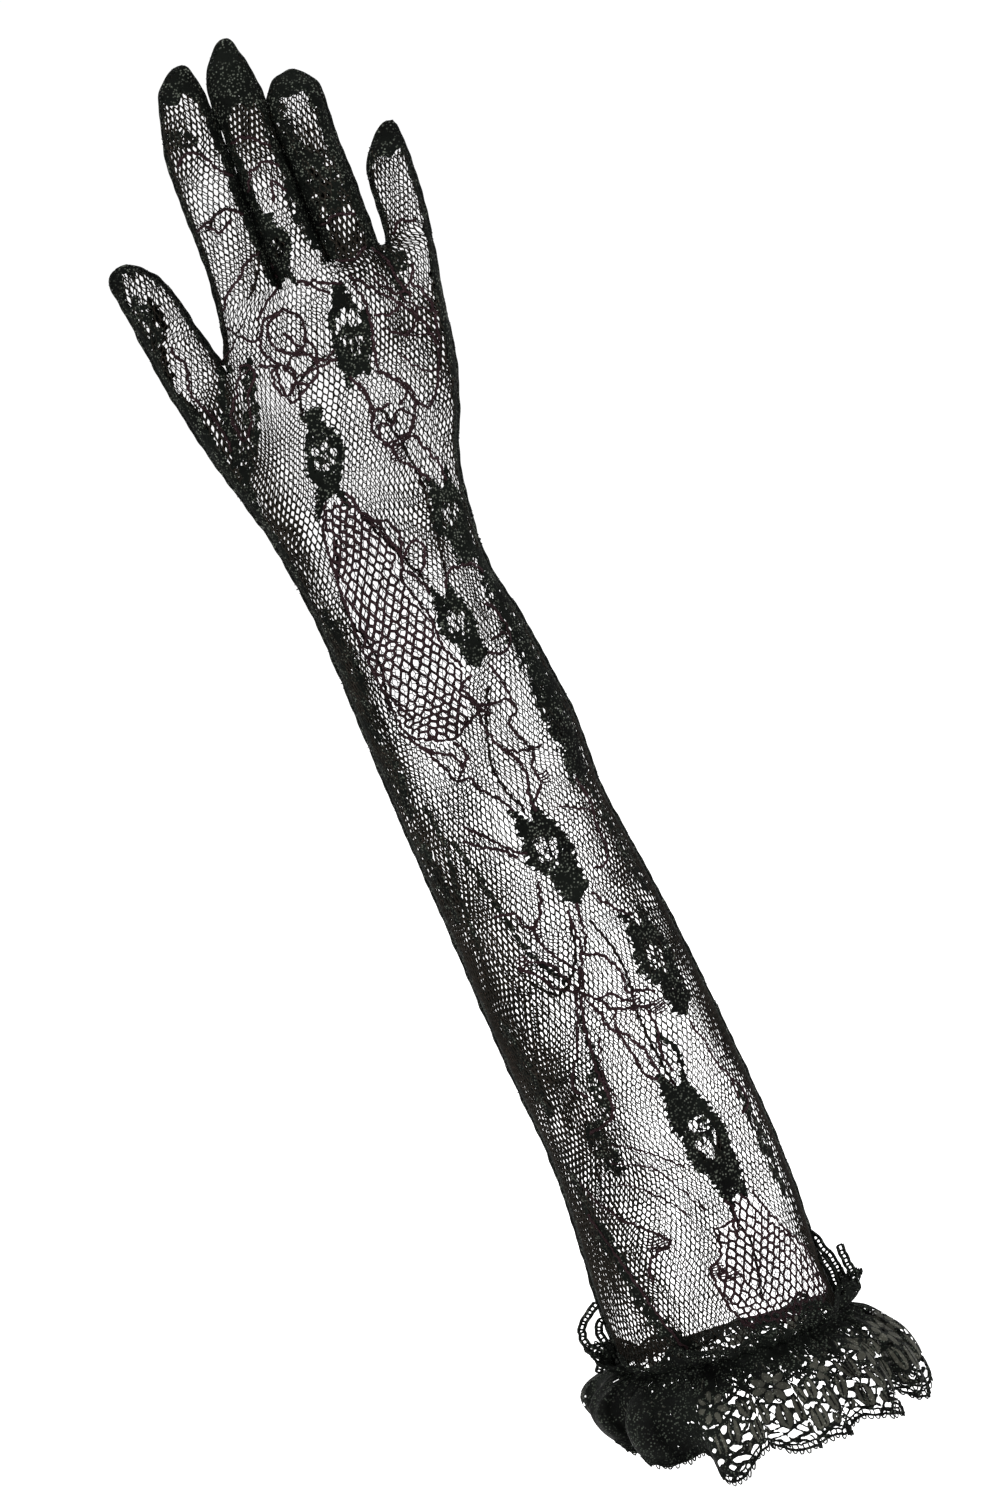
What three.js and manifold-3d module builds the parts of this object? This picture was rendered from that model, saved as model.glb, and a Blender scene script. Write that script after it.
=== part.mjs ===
// Long lace glove for a right hand: two lace panels sewn together along the outline of the arm and the
// fingers, and a gathered ruffle round the arm opening. Each panel is given in seven parts: sleeve, hand,
// thumb and the four fingers.
// Millimetres. +Z runs from the arm opening to the fingertips, +X to the little finger's side, and the back
// of the hand faces -Y. The origin is the middle of the arm opening, just under the ruffle's gather line.

import * as THREE from 'three';
import { mergeVertices } from 'three/addons/utils/BufferGeometryUtils.js';
import Module from 'manifold-3d';

const wasm = await Module();
wasm.setup();

// Walls and gaps
const WALL = 1.2;
const SEAM_GAP = 0.3;
const HEM_Z = -3;
const SOLID_TIP = 0.6;
const MERGE_STEP = 0.002;

// Form of the cross sections: 2 is an ellipse, more is squarer
const ARM_SQUARENESS = 2.15;
const FINGER_SQUARENESS = 2.1;
const ARM_SIDES = 30;
const FINGER_SIDES = 14;

// Set of the hand: the fingers curl a little towards the palm, and the thumb stands in front of it
const KNUCKLE_Z = 330;
const CURL_AT_TIP = 11;
const TIP_Z = 452;
const THUMB_FORWARD = 8;
const THUMB_FORWARD_Z = [262, 350];
const THUMB_FORWARD_X = [-14, -34];

// The arm opening leans in the front view: it is higher on the thumb's side
const LEAN = 0.13;
const LEAN_FADES_Z = [10, 90];

// A section is square to Z: its left and right edges in X, and how far it stands out on the back and palm
const SECTION = ['z', 'left', 'right', 'back', 'palm'];

const ARM_AND_HAND = table(SECTION, [
  [HEM_Z, -35.5, 36.5, 34.0, 35.0],
  [20, -35.2, 36.6, 34.0, 35.0],
  [44, -33.0, 38.6, 34.0, 35.0],
  [62, -31.2, 39.2, 33.5, 34.5],
  [82, -30.0, 38.9, 33.0, 34.0],
  [108, -30.7, 37.9, 31.5, 32.5],
  [136, -30.8, 36.4, 29.5, 30.5],
  [164, -30.5, 34.2, 27.5, 28.0],
  [188, -30.6, 32.2, 25.5, 26.0],
  [212, -30.5, 33.6, 23.5, 24.0],
  [232, -30.2, 32.0, 21.5, 22.0],
  [250, -29.8, 30.2, 20.0, 20.5],
  [268, -29.6, 27.4, 18.5, 19.5],
  [285, -30.2, 28.6, 16.5, 18.0],
  [303, -29.8, 32.0, 14.5, 17.0],
  [321, -27.6, 39.6, 13.0, 15.5],
  [340, -25.6, 45.4, 12.5, 14.0],
  [354, -24.4, 47.8, 11.5, 12.5],
  [364, -22.6, 49.4, 9.5, 10.5],
  [371, -18.0, 45.6, 7.0, 7.5],
  [376, -12.0, 34.0, 3.5, 3.8],
]);

const THUMB = table(SECTION, [
  [270, -29.0, -8.0, 8.0, 10.0],
  [286, -30.8, -9.0, 9.0, 11.5],
  [303, -32.6, -12.0, 9.5, 12.0],
  [321, -36.8, -16.5, 9.5, 11.5],
  [340, -40.8, -20.5, 9.0, 10.0],
  [360, -43.8, -25.2, 8.5, 9.0],
  [377, -45.2, -28.8, 7.8, 8.2],
  [387, -46.0, -30.6, 6.8, 7.0],
  [394, -46.8, -33.8, 5.0, 5.2],
  [398, -46.4, -37.2, 3.0, 3.0],
  [400, -43.8, -39.6, 1.2, 1.2],
]);

const INDEX_FINGER = table(SECTION, [
  [332, -23.0, -2.0, 9.0, 9.5],
  [352, -22.6, -0.4, 9.2, 9.6],
  [366, -20.8, 1.0, 8.8, 9.2],
  [378, -18.3, 1.5, 8.4, 8.6],
  [395, -16.3, 1.9, 7.9, 8.0],
  [413, -15.6, 2.8, 7.5, 7.5],
  [430, -13.7, 3.6, 6.8, 6.8],
  [441, -10.2, 3.7, 4.8, 4.8],
  [447, -7.6, 2.9, 2.8, 2.8],
  [451.4, -1.2, 1.8, 1.1, 1.1],
]);

const MIDDLE_FINGER = table(SECTION, [
  [332, 0.0, 20.0, 9.0, 9.5],
  [352, 1.0, 20.0, 9.4, 9.8],
  [376, 2.2, 19.4, 8.6, 8.8],
  [395, 3.2, 19.4, 8.1, 8.2],
  [413, 4.6, 19.9, 7.7, 7.7],
  [431, 5.6, 20.6, 7.0, 7.0],
  [441, 6.4, 20.3, 5.2, 5.2],
  [447, 8.9, 19.4, 3.2, 3.2],
  [453.7, 15.2, 17.8, 1.1, 1.1],
]);

const RING_FINGER = table(SECTION, [
  [332, 19.0, 37.0, 8.6, 9.2],
  [352, 19.2, 36.4, 9.0, 9.4],
  [376, 19.5, 35.4, 8.4, 8.6],
  [395, 19.9, 36.5, 7.9, 8.0],
  [413, 20.4, 37.0, 7.4, 7.4],
  [425, 20.7, 38.0, 6.2, 6.2],
  [431, 22.0, 37.8, 4.6, 4.6],
  [436.3, 27.2, 33.2, 1.4, 1.4],
]);

const LITTLE_FINGER = table(SECTION, [
  [326, 30.0, 42.0, 7.4, 8.0],
  [346, 33.6, 47.0, 7.8, 8.4],
  [360, 36.0, 49.8, 7.6, 8.0],
  [370, 37.9, 51.8, 7.2, 7.4],
  [383, 40.7, 54.2, 6.6, 6.6],
  [394, 41.8, 55.2, 5.8, 5.8],
  [402, 44.4, 55.9, 4.2, 4.2],
  [409.8, 52.6, 55.4, 1.1, 1.1],
]);

const DIGITS = [THUMB, INDEX_FINGER, MIDDLE_FINGER, RING_FINGER, LITTLE_FINGER];

// Where the parts of a panel meet, as outlines in X and Z
const WRIST_Z = 236;
const FINGERS_FROM_Z = 362;
const PART_DEPTH = 80;
const LINE = {
  thumbRoot: [[-70, 298], [-13, 298]],
  thumbToHand: [[-13, 298], [-24.6, 361], [-24.6, FINGERS_FROM_Z]],
  indexToMiddle: [[1.7, FINGERS_FROM_Z], [1.85, 376], [2.55, 395]],
  middleToRing: [[19.45, FINGERS_FROM_Z], [19.45, 376], [19.65, 395]],
  ringToLittle: [[36.9, FINGERS_FROM_Z], [36.9, 369], [37.8, 383]],
};
const ABOVE = {
  indexToMiddle: [[3.7, 413], [4.6, 431], [5, 441], [5.5, 480]],
  middleToRing: [[20.15, 413], [20.55, 425], [21.2, 431], [24, 440], [24, 480]],
  ringToLittle: [[39, 395], [40, 480]],
};
const SLITS = [
  [[-70, WRIST_Z], [70, WRIST_Z]],
  [[-24.6, FINGERS_FROM_Z], [70, FINGERS_FROM_Z]],
  ...Object.values(LINE),
];
const between = (name) => [...LINE[name], ...ABOVE[name]];
const PARTS = {
  sleeve: [[-70, -60], [70, -60], [70, WRIST_Z], [-70, WRIST_Z]],
  hand: [[-70, WRIST_Z], [70, WRIST_Z], [70, FINGERS_FROM_Z], ...LINE.thumbToHand.toReversed(), [-70, 298]],
  thumb: [...LINE.thumbRoot, ...LINE.thumbToHand.slice(1), [-24.6, 480], [-70, 480]],
  index: [[-24.6, FINGERS_FROM_Z], ...between('indexToMiddle'), [-24.6, 480]],
  middle: [...between('middleToRing'), ...between('indexToMiddle').toReversed()],
  ring: [...between('ringToLittle'), ...between('middleToRing').toReversed()],
  little: [[70, FINGERS_FROM_Z], [70, 480], ...between('ringToLittle').toReversed()],
};

// The ruffle is one strip gathered onto the arm opening: its heading stands up, and its skirt hangs below.
// A row is a height over the gather line, how far it flares from the sleeve, and the size of its waves
const GATHER_Z = 4;
const RUFFLE_WAVES = 13;
const RUFFLE_STEPS_PER_WAVE = 7;
const RUFFLE_WALL = 1.0;
const RUFFLE_WAIST = { left: -35.5, right: 36.5, back: 34.0, palm: 35.0 };
const HEADING_AT_FRONT = 0.6;
const RUFFLE = table(['height', 'flare', 'wave', 'rise'], [
  [20, 8.0, 3.8, 3.4],
  [9, 6.0, 2.6, 0.9],
  [4, 3.8, 1.5, 0.2],
  [0, 1.15, 0.1, 0],
  [-4, 5.8, 1.7, 0],
  [-9, 11.4, 3.4, -0.4],
  [-15, 15.4, 4.8, -0.8],
  [-22, 17.0, 5.6, -1.6],
  [-29, 16.6, 6.2, -2.4],
]);

const LACE = new THREE.MeshStandardMaterial({ color: 0x14140f, roughness: 0.62, metalness: 0 });
const RUFFLE_LACE = new THREE.MeshStandardMaterial({ color: 0x1a1b15, roughness: 0.58, metalness: 0 });

function table(columns, rows) {
  return rows.map((row) => Object.fromEntries(columns.map((name, i) => [name, row[i]])));
}

function signedPower(value, power) {
  return Math.sign(value) * Math.abs(value) ** power;
}

// A point of the rounded section at an angle from +X; the back and the palm have depths of their own
function sectionPoint(section, angle, squareness) {
  const across = signedPower(Math.cos(angle), 2 / squareness);
  const out = signedPower(Math.sin(angle), 2 / squareness);
  const middle = (section.left + section.right) / 2;
  const halfWidth = (section.right - section.left) / 2;
  const depth = out < 0 ? section.back : section.palm;
  return new THREE.Vector3(middle + halfWidth * across, depth * out, section.z);
}

// How far the middle surface of the glove lies towards the palm at a place on it
function forward(x, z) {
  const curl = CURL_AT_TIP * (Math.max(0, z - KNUCKLE_Z) / (TIP_Z - KNUCKLE_Z)) ** 2;
  const up = THREE.MathUtils.smoothstep(z, ...THUMB_FORWARD_Z);
  const aside = THREE.MathUtils.smoothstep(-x, -THUMB_FORWARD_X[0], -THUMB_FORWARD_X[1]);
  return curl + THUMB_FORWARD * up * aside;
}

// How far a place near the arm opening is raised by the opening's lean
function raised(x, z) {
  return -LEAN * x * (1 - THREE.MathUtils.smoothstep(z, ...LEAN_FADES_Z));
}

function geometryOf(positions, indices) {
  const geometry = new THREE.BufferGeometry();
  geometry.setAttribute('position', new THREE.Float32BufferAttribute(positions, 3));
  geometry.setIndex(indices);
  return geometry;
}

function solidOf(geometry) {
  return new wasm.Manifold(new wasm.Mesh({
    numProp: 3,
    vertProperties: new Float32Array(geometry.attributes.position.array),
    triVerts: new Uint32Array(geometry.index.array),
  }));
}

// Closed body through a stack of sections, capped flat at both ends
function loft(sections, sides, squareness) {
  const positions = [];
  const indices = [];
  sections.forEach((section, row) => {
    for (let i = 0; i < sides; i += 1) {
      positions.push(...sectionPoint(section, (2 * Math.PI * i) / sides, squareness));
      if (row > 0) {
        const low = (row - 1) * sides;
        const high = row * sides;
        const next = (i + 1) % sides;
        indices.push(low + i, low + next, high + next);
        indices.push(low + i, high + next, high + i);
      }
    }
  });
  const top = (sections.length - 1) * sides;
  for (let i = 1; i < sides - 1; i += 1) {
    indices.push(0, i + 1, i);
    indices.push(top, top + i, top + i + 1);
  }
  return solidOf(geometryOf(positions, indices));
}

// The hollow inside a stack of sections, which stops short of a tip too thin to be hollow
function hollowOf(sections) {
  const thick = (s) => Math.min((s.right - s.left) / 2, s.back, s.palm) > WALL + SOLID_TIP;
  return sections.filter(thick).map((s) => ({
    z: s.z - (s.z > HEM_Z ? WALL / 2 : WALL * 4),
    left: s.left + WALL,
    right: s.right - WALL,
    back: s.back - WALL,
    palm: s.palm - WALL,
  }));
}

function gloveShell() {
  let outside = loft(ARM_AND_HAND, ARM_SIDES, ARM_SQUARENESS);
  let inside = loft(hollowOf(ARM_AND_HAND), ARM_SIDES, ARM_SQUARENESS);
  for (const digit of DIGITS) {
    outside = outside.add(loft(digit, FINGER_SIDES, FINGER_SQUARENESS));
    inside = inside.add(loft(hollowOf(digit), FINGER_SIDES, FINGER_SQUARENESS));
  }
  return outside.subtract(inside);
}

// Prism over an outline in X and Z, as deep as the whole glove
function prism(outline) {
  const shape = new THREE.Shape(outline.map(([x, z]) => new THREE.Vector2(x, z)));
  const geometry = new THREE.ExtrudeGeometry(shape, { depth: 2 * PART_DEPTH, bevelEnabled: false });
  geometry.translate(0, 0, -PART_DEPTH);
  geometry.rotateX(Math.PI / 2);
  geometry.deleteAttribute('normal');
  geometry.deleteAttribute('uv');
  return solidOf(mergeVertices(geometry, MERGE_STEP));
}

// The shell with a slit of the seam's width cut along each line where two parts meet
function slitShell(shell) {
  let result = shell;
  for (const line of SLITS) {
    for (let i = 0; i < line.length - 1; i += 1) {
      const [from, to] = [line[i], line[i + 1]].map(([x, z]) => new THREE.Vector2(x, z));
      const along = to.clone().sub(from).setLength(SEAM_GAP / 2);
      const aside = new THREE.Vector2(-along.y, along.x);
      const start = from.sub(along);
      const end = to.add(along);
      const corners = [start.clone().sub(aside), end.clone().sub(aside), end.clone().add(aside)];
      corners.push(start.clone().add(aside));
      result = result.subtract(prism(corners.map((corner) => [corner.x, corner.y])));
    }
  }
  return result;
}

// Half of a part, on one side of the seam, set to the hand's curl and the hem's lean after it is cut
function half(solid, side) {
  const mesh = solid.trimByPlane([0, side, 0], SEAM_GAP / 2).getMesh();
  const positions = [];
  for (let i = 0; i < mesh.vertProperties.length; i += mesh.numProp) {
    const [x, y, z] = mesh.vertProperties.slice(i, i + 3);
    positions.push(x, y + forward(x, z), z + raised(x, z));
  }
  return mergeVertices(geometryOf(positions, Array.from(mesh.triVerts)), MERGE_STEP);
}

// Uneven gathers: the waves are wider and deeper in some places than in others
function gather(angle) {
  const shifted = angle + 0.09 * Math.sin(2 * angle + 0.6) + 0.04 * Math.sin(5 * angle);
  const depth = 0.82 + 0.18 * Math.sin(3 * angle + 1.1);
  return { wave: depth * Math.sin(RUFFLE_WAVES * shifted), rise: Math.sin(RUFFLE_WAVES * shifted + 1.3) };
}

// Middle surface of the ruffle at a row of its table and an angle round the arm; the heading is tallest
// at the two sides of the arm
function rufflePoint(row, angle) {
  const point = sectionPoint({ ...RUFFLE_WAIST, z: 0 }, angle, ARM_SQUARENESS);
  const outward = new THREE.Vector3(Math.cos(angle), Math.sin(angle), 0);
  const { wave, rise } = gather(angle);
  const standing = row.height > 0 ? THREE.MathUtils.lerp(HEADING_AT_FRONT, 1, Math.cos(angle) ** 2) : 1;
  point.addScaledVector(outward, row.flare + row.wave * wave);
  point.z = GATHER_Z + row.height * standing + row.rise * rise - LEAN * point.x;
  return point;
}

// Ring wall: an outer and an inner skin half a wall each side of the middle surface, joined at both edges
function ruffleGeometry() {
  const around = RUFFLE_WAVES * RUFFLE_STEPS_PER_WAVE;
  const rows = RUFFLE.length;
  const middle = RUFFLE.map((row) => {
    return Array.from({ length: around }, (_, i) => rufflePoint(row, (2 * Math.PI * i) / around));
  });
  const positions = [];
  for (const side of [1, -1]) {
    for (let r = 0; r < rows; r += 1) {
      for (let i = 0; i < around; i += 1) {
        const along = middle[r][(i + 1) % around].clone().sub(middle[r][(i + around - 1) % around]);
        const up = middle[Math.max(r - 1, 0)][i].clone().sub(middle[Math.min(r + 1, rows - 1)][i]);
        const normal = along.cross(up).normalize();
        positions.push(...middle[r][i].clone().addScaledVector(normal, (side * RUFFLE_WALL) / 2));
      }
    }
  }
  const at = (skin, r, i) => (skin * rows + r) * around + (i % around);
  const indices = [];
  const quad = (a, b, c, d) => indices.push(a, b, c, a, c, d);
  for (let i = 0; i < around; i += 1) {
    for (let r = 0; r < rows - 1; r += 1) {
      quad(at(0, r + 1, i), at(0, r + 1, i + 1), at(0, r, i + 1), at(0, r, i));
      quad(at(1, r, i), at(1, r, i + 1), at(1, r + 1, i + 1), at(1, r + 1, i));
    }
    quad(at(0, 0, i), at(0, 0, i + 1), at(1, 0, i + 1), at(1, 0, i));
    quad(at(1, rows - 1, i), at(1, rows - 1, i + 1), at(0, rows - 1, i + 1), at(0, rows - 1, i));
  }
  return geometryOf(positions, indices);
}

function piece(name, geometry, material) {
  const mesh = new THREE.Mesh(geometry, material);
  mesh.name = name;
  geometry.computeVertexNormals();
  return mesh;
}

const shell = slitShell(gloveShell());
const glove = new THREE.Group();
for (const [name, outline] of Object.entries(PARTS)) {
  const part = shell.intersect(prism(outline));
  glove.add(piece(`${name}_back`, half(part, -1), LACE));
  glove.add(piece(`${name}_palm`, half(part, 1), LACE));
}
glove.add(piece('ruffle', ruffleGeometry(), RUFFLE_LACE));

export default glove;
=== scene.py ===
import math

import bpy
import numpy as np
from mathutils import Matrix, Vector


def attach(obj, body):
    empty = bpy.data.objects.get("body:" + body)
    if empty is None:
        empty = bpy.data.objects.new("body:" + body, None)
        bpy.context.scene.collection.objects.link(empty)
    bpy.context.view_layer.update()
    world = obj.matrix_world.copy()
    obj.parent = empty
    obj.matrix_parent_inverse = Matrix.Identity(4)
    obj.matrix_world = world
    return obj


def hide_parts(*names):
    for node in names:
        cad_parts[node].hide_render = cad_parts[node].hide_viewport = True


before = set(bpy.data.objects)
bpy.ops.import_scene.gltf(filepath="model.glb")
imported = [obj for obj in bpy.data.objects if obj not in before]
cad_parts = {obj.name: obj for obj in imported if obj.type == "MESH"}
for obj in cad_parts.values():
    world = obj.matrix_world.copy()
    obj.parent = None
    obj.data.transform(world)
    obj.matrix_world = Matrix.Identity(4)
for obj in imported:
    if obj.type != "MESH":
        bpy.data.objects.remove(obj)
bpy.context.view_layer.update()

# Lace glove. Everything below is in millimetres in the frame of the CAD model, and goes into Blender in
# metres. Each panel has a chart: u runs across the cloth, v is the height, and place() puts a point of the
# chart on the glove. The lace is drawn in the charts and then placed.

MM = 0.001
HEM_Z = -3.0
TOP_Z = 454.0
ARM_SQUARENESS = 2.15
FINGER_SQUARENESS = 2.1

# Set of the hand and lean of the arm opening, as in the CAD model
KNUCKLE_Z = 330.0
CURL_AT_TIP = 11.0
TIP_Z = 452.0
THUMB_FORWARD = 8.0
THUMB_FORWARD_Z = (262.0, 350.0)
THUMB_FORWARD_X = (14.0, 34.0)
LEAN = 0.13
LEAN_FADES_Z = (10.0, 90.0)

# Sections of the arm and the digits: height, left edge, right edge, depth on the back and on the palm
ARM_AND_HAND = np.array([
    (-3, -35.5, 36.5, 34.0, 35.0), (20, -35.2, 36.6, 34.0, 35.0), (44, -33.0, 38.6, 34.0, 35.0),
    (62, -31.2, 39.2, 33.5, 34.5), (82, -30.0, 38.9, 33.0, 34.0), (108, -30.7, 37.9, 31.5, 32.5),
    (136, -30.8, 36.4, 29.5, 30.5), (164, -30.5, 34.2, 27.5, 28.0), (188, -30.6, 32.2, 25.5, 26.0),
    (212, -30.5, 33.6, 23.5, 24.0), (232, -30.2, 32.0, 21.5, 22.0), (250, -29.8, 30.2, 20.0, 20.5),
    (268, -29.6, 27.4, 18.5, 19.5), (285, -30.2, 28.6, 16.5, 18.0), (303, -29.8, 32.0, 14.5, 17.0),
    (321, -27.6, 39.6, 13.0, 15.5), (340, -25.6, 45.4, 12.5, 14.0), (354, -24.4, 47.8, 11.5, 12.5),
    (364, -22.6, 49.4, 9.5, 10.5), (371, -18.0, 45.6, 7.0, 7.5), (376, -12.0, 34.0, 3.5, 3.8)])
THUMB = np.array([
    (270, -29.0, -8.0, 8.0, 10.0), (286, -30.8, -9.0, 9.0, 11.5), (303, -32.6, -12.0, 9.5, 12.0),
    (321, -36.8, -16.5, 9.5, 11.5), (340, -40.8, -20.5, 9.0, 10.0), (360, -43.8, -25.2, 8.5, 9.0),
    (377, -45.2, -28.8, 7.8, 8.2), (387, -46.0, -30.6, 6.8, 7.0), (394, -46.8, -33.8, 5.0, 5.2),
    (398, -46.4, -37.2, 3.0, 3.0), (400, -43.8, -39.6, 1.2, 1.2)])
INDEX_FINGER = np.array([
    (332, -23.0, -2.0, 9.0, 9.5), (352, -22.6, -0.4, 9.2, 9.6), (366, -20.8, 1.0, 8.8, 9.2),
    (378, -18.3, 1.5, 8.4, 8.6), (395, -16.3, 1.9, 7.9, 8.0), (413, -15.6, 2.8, 7.5, 7.5),
    (430, -13.7, 3.6, 6.8, 6.8), (441, -10.2, 3.7, 4.8, 4.8), (447, -7.6, 2.9, 2.8, 2.8),
    (451.4, -1.2, 1.8, 1.1, 1.1)])
MIDDLE_FINGER = np.array([
    (332, 0.0, 20.0, 9.0, 9.5), (352, 1.0, 20.0, 9.4, 9.8), (376, 2.2, 19.4, 8.6, 8.8),
    (395, 3.2, 19.4, 8.1, 8.2), (413, 4.6, 19.9, 7.7, 7.7), (431, 5.6, 20.6, 7.0, 7.0),
    (441, 6.4, 20.3, 5.2, 5.2), (447, 8.9, 19.4, 3.2, 3.2), (453.7, 15.2, 17.8, 1.1, 1.1)])
RING_FINGER = np.array([
    (332, 19.0, 37.0, 8.6, 9.2), (352, 19.2, 36.4, 9.0, 9.4), (376, 19.5, 35.4, 8.4, 8.6),
    (395, 19.9, 36.5, 7.9, 8.0), (413, 20.4, 37.0, 7.4, 7.4), (425, 20.7, 38.0, 6.2, 6.2),
    (431, 22.0, 37.8, 4.6, 4.6), (436.3, 27.2, 33.2, 1.4, 1.4)])
LITTLE_FINGER = np.array([
    (326, 30.0, 42.0, 7.4, 8.0), (346, 33.6, 47.0, 7.8, 8.4), (360, 36.0, 49.8, 7.6, 8.0),
    (370, 37.9, 51.8, 7.2, 7.4), (383, 40.7, 54.2, 6.6, 6.6), (394, 41.8, 55.2, 5.8, 5.8),
    (402, 44.4, 55.9, 4.2, 4.2), (409.8, 52.6, 55.4, 1.1, 1.1)])
DIGITS = [THUMB, INDEX_FINGER, MIDDLE_FINGER, RING_FINGER, LITTLE_FINGER]
CROTCHES = [(-24.5, 359.8), (1.6, 375.0), (19.5, 376.5), (37.0, 369.0)]
HEIGHT, LEFT, RIGHT, BACK, PALM = range(5)

# Camera: the photo's lean and scale, a slightly raised view, and a frame wider than the photo's
PHOTO_MM_PER_PIXEL = 0.31
PHOTO_LEAN = math.radians(23.5)
PHOTO_HEIGHT = 1500
ORIGIN_PIXEL = (753.3, 1398.9)
FRAME_CENTRE_PIXEL = (508.0, 775.0)
WIDER = 1.035
ELEVATION = math.radians(10)
LENS = 180.0
SENSOR_HEIGHT = 36.0
CAMERA_DISTANCE = PHOTO_HEIGHT * PHOTO_MM_PER_PIXEL * WIDER * LENS / SENSOR_HEIGHT
RIGHT_PIXELS = FRAME_CENTRE_PIXEL[0] - ORIGIN_PIXEL[0]
DOWN_PIXELS = FRAME_CENTRE_PIXEL[1] - ORIGIN_PIXEL[1]
TARGET_X = PHOTO_MM_PER_PIXEL * (RIGHT_PIXELS * math.cos(PHOTO_LEAN) - DOWN_PIXELS * math.sin(PHOTO_LEAN))
TARGET_UP = PHOTO_MM_PER_PIXEL * (-RIGHT_PIXELS * math.sin(PHOTO_LEAN) - DOWN_PIXELS * math.cos(PHOTO_LEAN))
TARGET_Z = TARGET_UP / math.cos(ELEVATION)

# Sampling of the charts
ROW_STEP = 1.0
ACROSS_STEP = 0.25
HALF_WIDTH = 100.0
X_RANGE = (-56.0, 64.0)
X_STEP = 0.1
BLEND_POWER = 8.0
CLOTH_FROM_DEPTH = 0.05
# On the hand, u grows at most this many times as fast as x, so that it stays even where a finger parts
STEEPEST_ARM = 12.0
STEEPEST_HAND = 1.8
STEEPEST_Z = (290.0, 345.0)
MIDDLE_LINE = np.array([(-10, 0.5), (80, 4.0), (200, 1.0), (268, -1.0), (330, 8.0), (376, 11.0), (460, 12.0)])
VIEW_STEPS = 4
UV_SPAN = 520.0
UV_START = 0.25

# Fine net of both panels
NET_PITCH = 1.7
NET_RISE = 2.15
NET_POST = 0.46
BACK_NET_STRAND = 0.23
PALM_NET_STRAND = 0.16
NET_LIFT = 0.12
RIDGE_HEIGHT = 0.35
# How far the net wanders across and up, and over what length, then the length over which its corners are
# uneven
NET_WANDER = [(1.7, 46, 1.5), (1.6, 34, 1.4)]
NET_UNEVEN = 0.085
CORNER_ACROSS = (-1.0, 1.0, 0.0)
CORNER_UP = (0.5, 0.5, -1.15)

# Coarse net, in the areas that the cords enclose
COARSE_PITCH = 3.0
COARSE_RISE = 2.7
COARSE_STRAND = 0.5

BACK_CLOTH_STEP = 0.42
PALM_CLOTH_STEP = 0.6
CLOTH_LIFT = 0.16
CLOTH_RELIEF = 0.09
CLOTH_HALF_WIDTH = 96
CLOTH_FROM_EDGE = 0.15

# A field is the distance inside cloth, in mm. Where it isn't worked out it is this far outside
OUTSIDE = -9.0
FAR = 99.0
TINY = 1e-6
FRONT = np.array([0.0, -1.0, 0.0])


def smoothstep(value, low, high):
    t = np.clip((value - low) / (high - low), 0, 1)
    return t * t * (3 - 2 * t)


def smooth_curve(at, knots, values):
    """Cubic curve through values at knots, read at other places."""
    slopes = np.gradient(values, knots)
    i = np.clip(np.searchsorted(knots, at) - 1, 0, len(knots) - 2)
    span = knots[i + 1] - knots[i]
    t = np.clip((at - knots[i]) / span, 0, 1)
    start = values[i] * (1 + 2 * t) * (1 - t) ** 2 + slopes[i] * span * t * (1 - t) ** 2
    end = values[i + 1] * t * t * (3 - 2 * t) + slopes[i + 1] * span * t * t * (t - 1)
    return start + end


def drift(u, v, size, seed):
    """Smooth wandering of about -1 to 1, with waves of about the given size."""
    random = np.random.default_rng(seed)
    total = 0
    for _ in range(5):
        angle = random.uniform(0, 2 * math.pi)
        rate = 2 * math.pi / size * random.uniform(0.6, 1.5)
        total = total + np.sin((u * math.cos(angle) + v * math.sin(angle)) * rate + random.uniform(0, 6.3))
    return total / 2.6


def unit(vectors):
    return vectors / np.maximum(np.linalg.norm(vectors, axis=-1, keepdims=True), TINY)


def lengths_along(path):
    """Length of a path up to each of its points."""
    return np.concatenate([[0], np.cumsum(np.linalg.norm(np.diff(path, axis=0), axis=1))])


def read_along(at, knots, path, curve=np.interp):
    """Points of a path between its knots."""
    return np.stack([curve(at, knots, column) for column in path.T], axis=1)


def rotated(u, v, degrees):
    """The same place, measured along axes turned by some degrees."""
    c, s = math.cos(math.radians(degrees)), math.sin(math.radians(degrees))
    return u * c + v * s, -u * s + v * c


def forward(x, z):
    """How far the middle surface of the glove lies towards the palm."""
    curl = CURL_AT_TIP * (np.maximum(0, z - KNUCKLE_Z) / (TIP_Z - KNUCKLE_Z)) ** 2
    return curl + THUMB_FORWARD * smoothstep(z, *THUMB_FORWARD_Z) * smoothstep(-x, *THUMB_FORWARD_X)


def raised(x, z):
    """How far the lean of the arm opening raises a place."""
    return -LEAN * x * (1 - smoothstep(z, *LEAN_FADES_Z))


def sides_at(rows, z):
    """Left and right edge of a branch at a height."""
    return [smooth_curve(z, rows[:, HEIGHT], rows[:, side]) for side in (LEFT, RIGHT)]


def branch_depth(rows, x, z, column, squareness):
    """Height of one branch's rounded section over the middle surface, 0 outside it."""
    left, right = sides_at(rows, z)
    depth = smooth_curve(z, rows[:, HEIGHT], rows[:, column])
    inside = (z >= rows[0, HEIGHT]) & (z <= rows[-1, HEIGHT])
    across = np.abs(2 * x - left - right) / np.maximum(right - left, 0.5)
    return np.where(inside, depth, 0) * np.maximum(0, 1 - across ** squareness) ** (1 / squareness)


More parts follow.
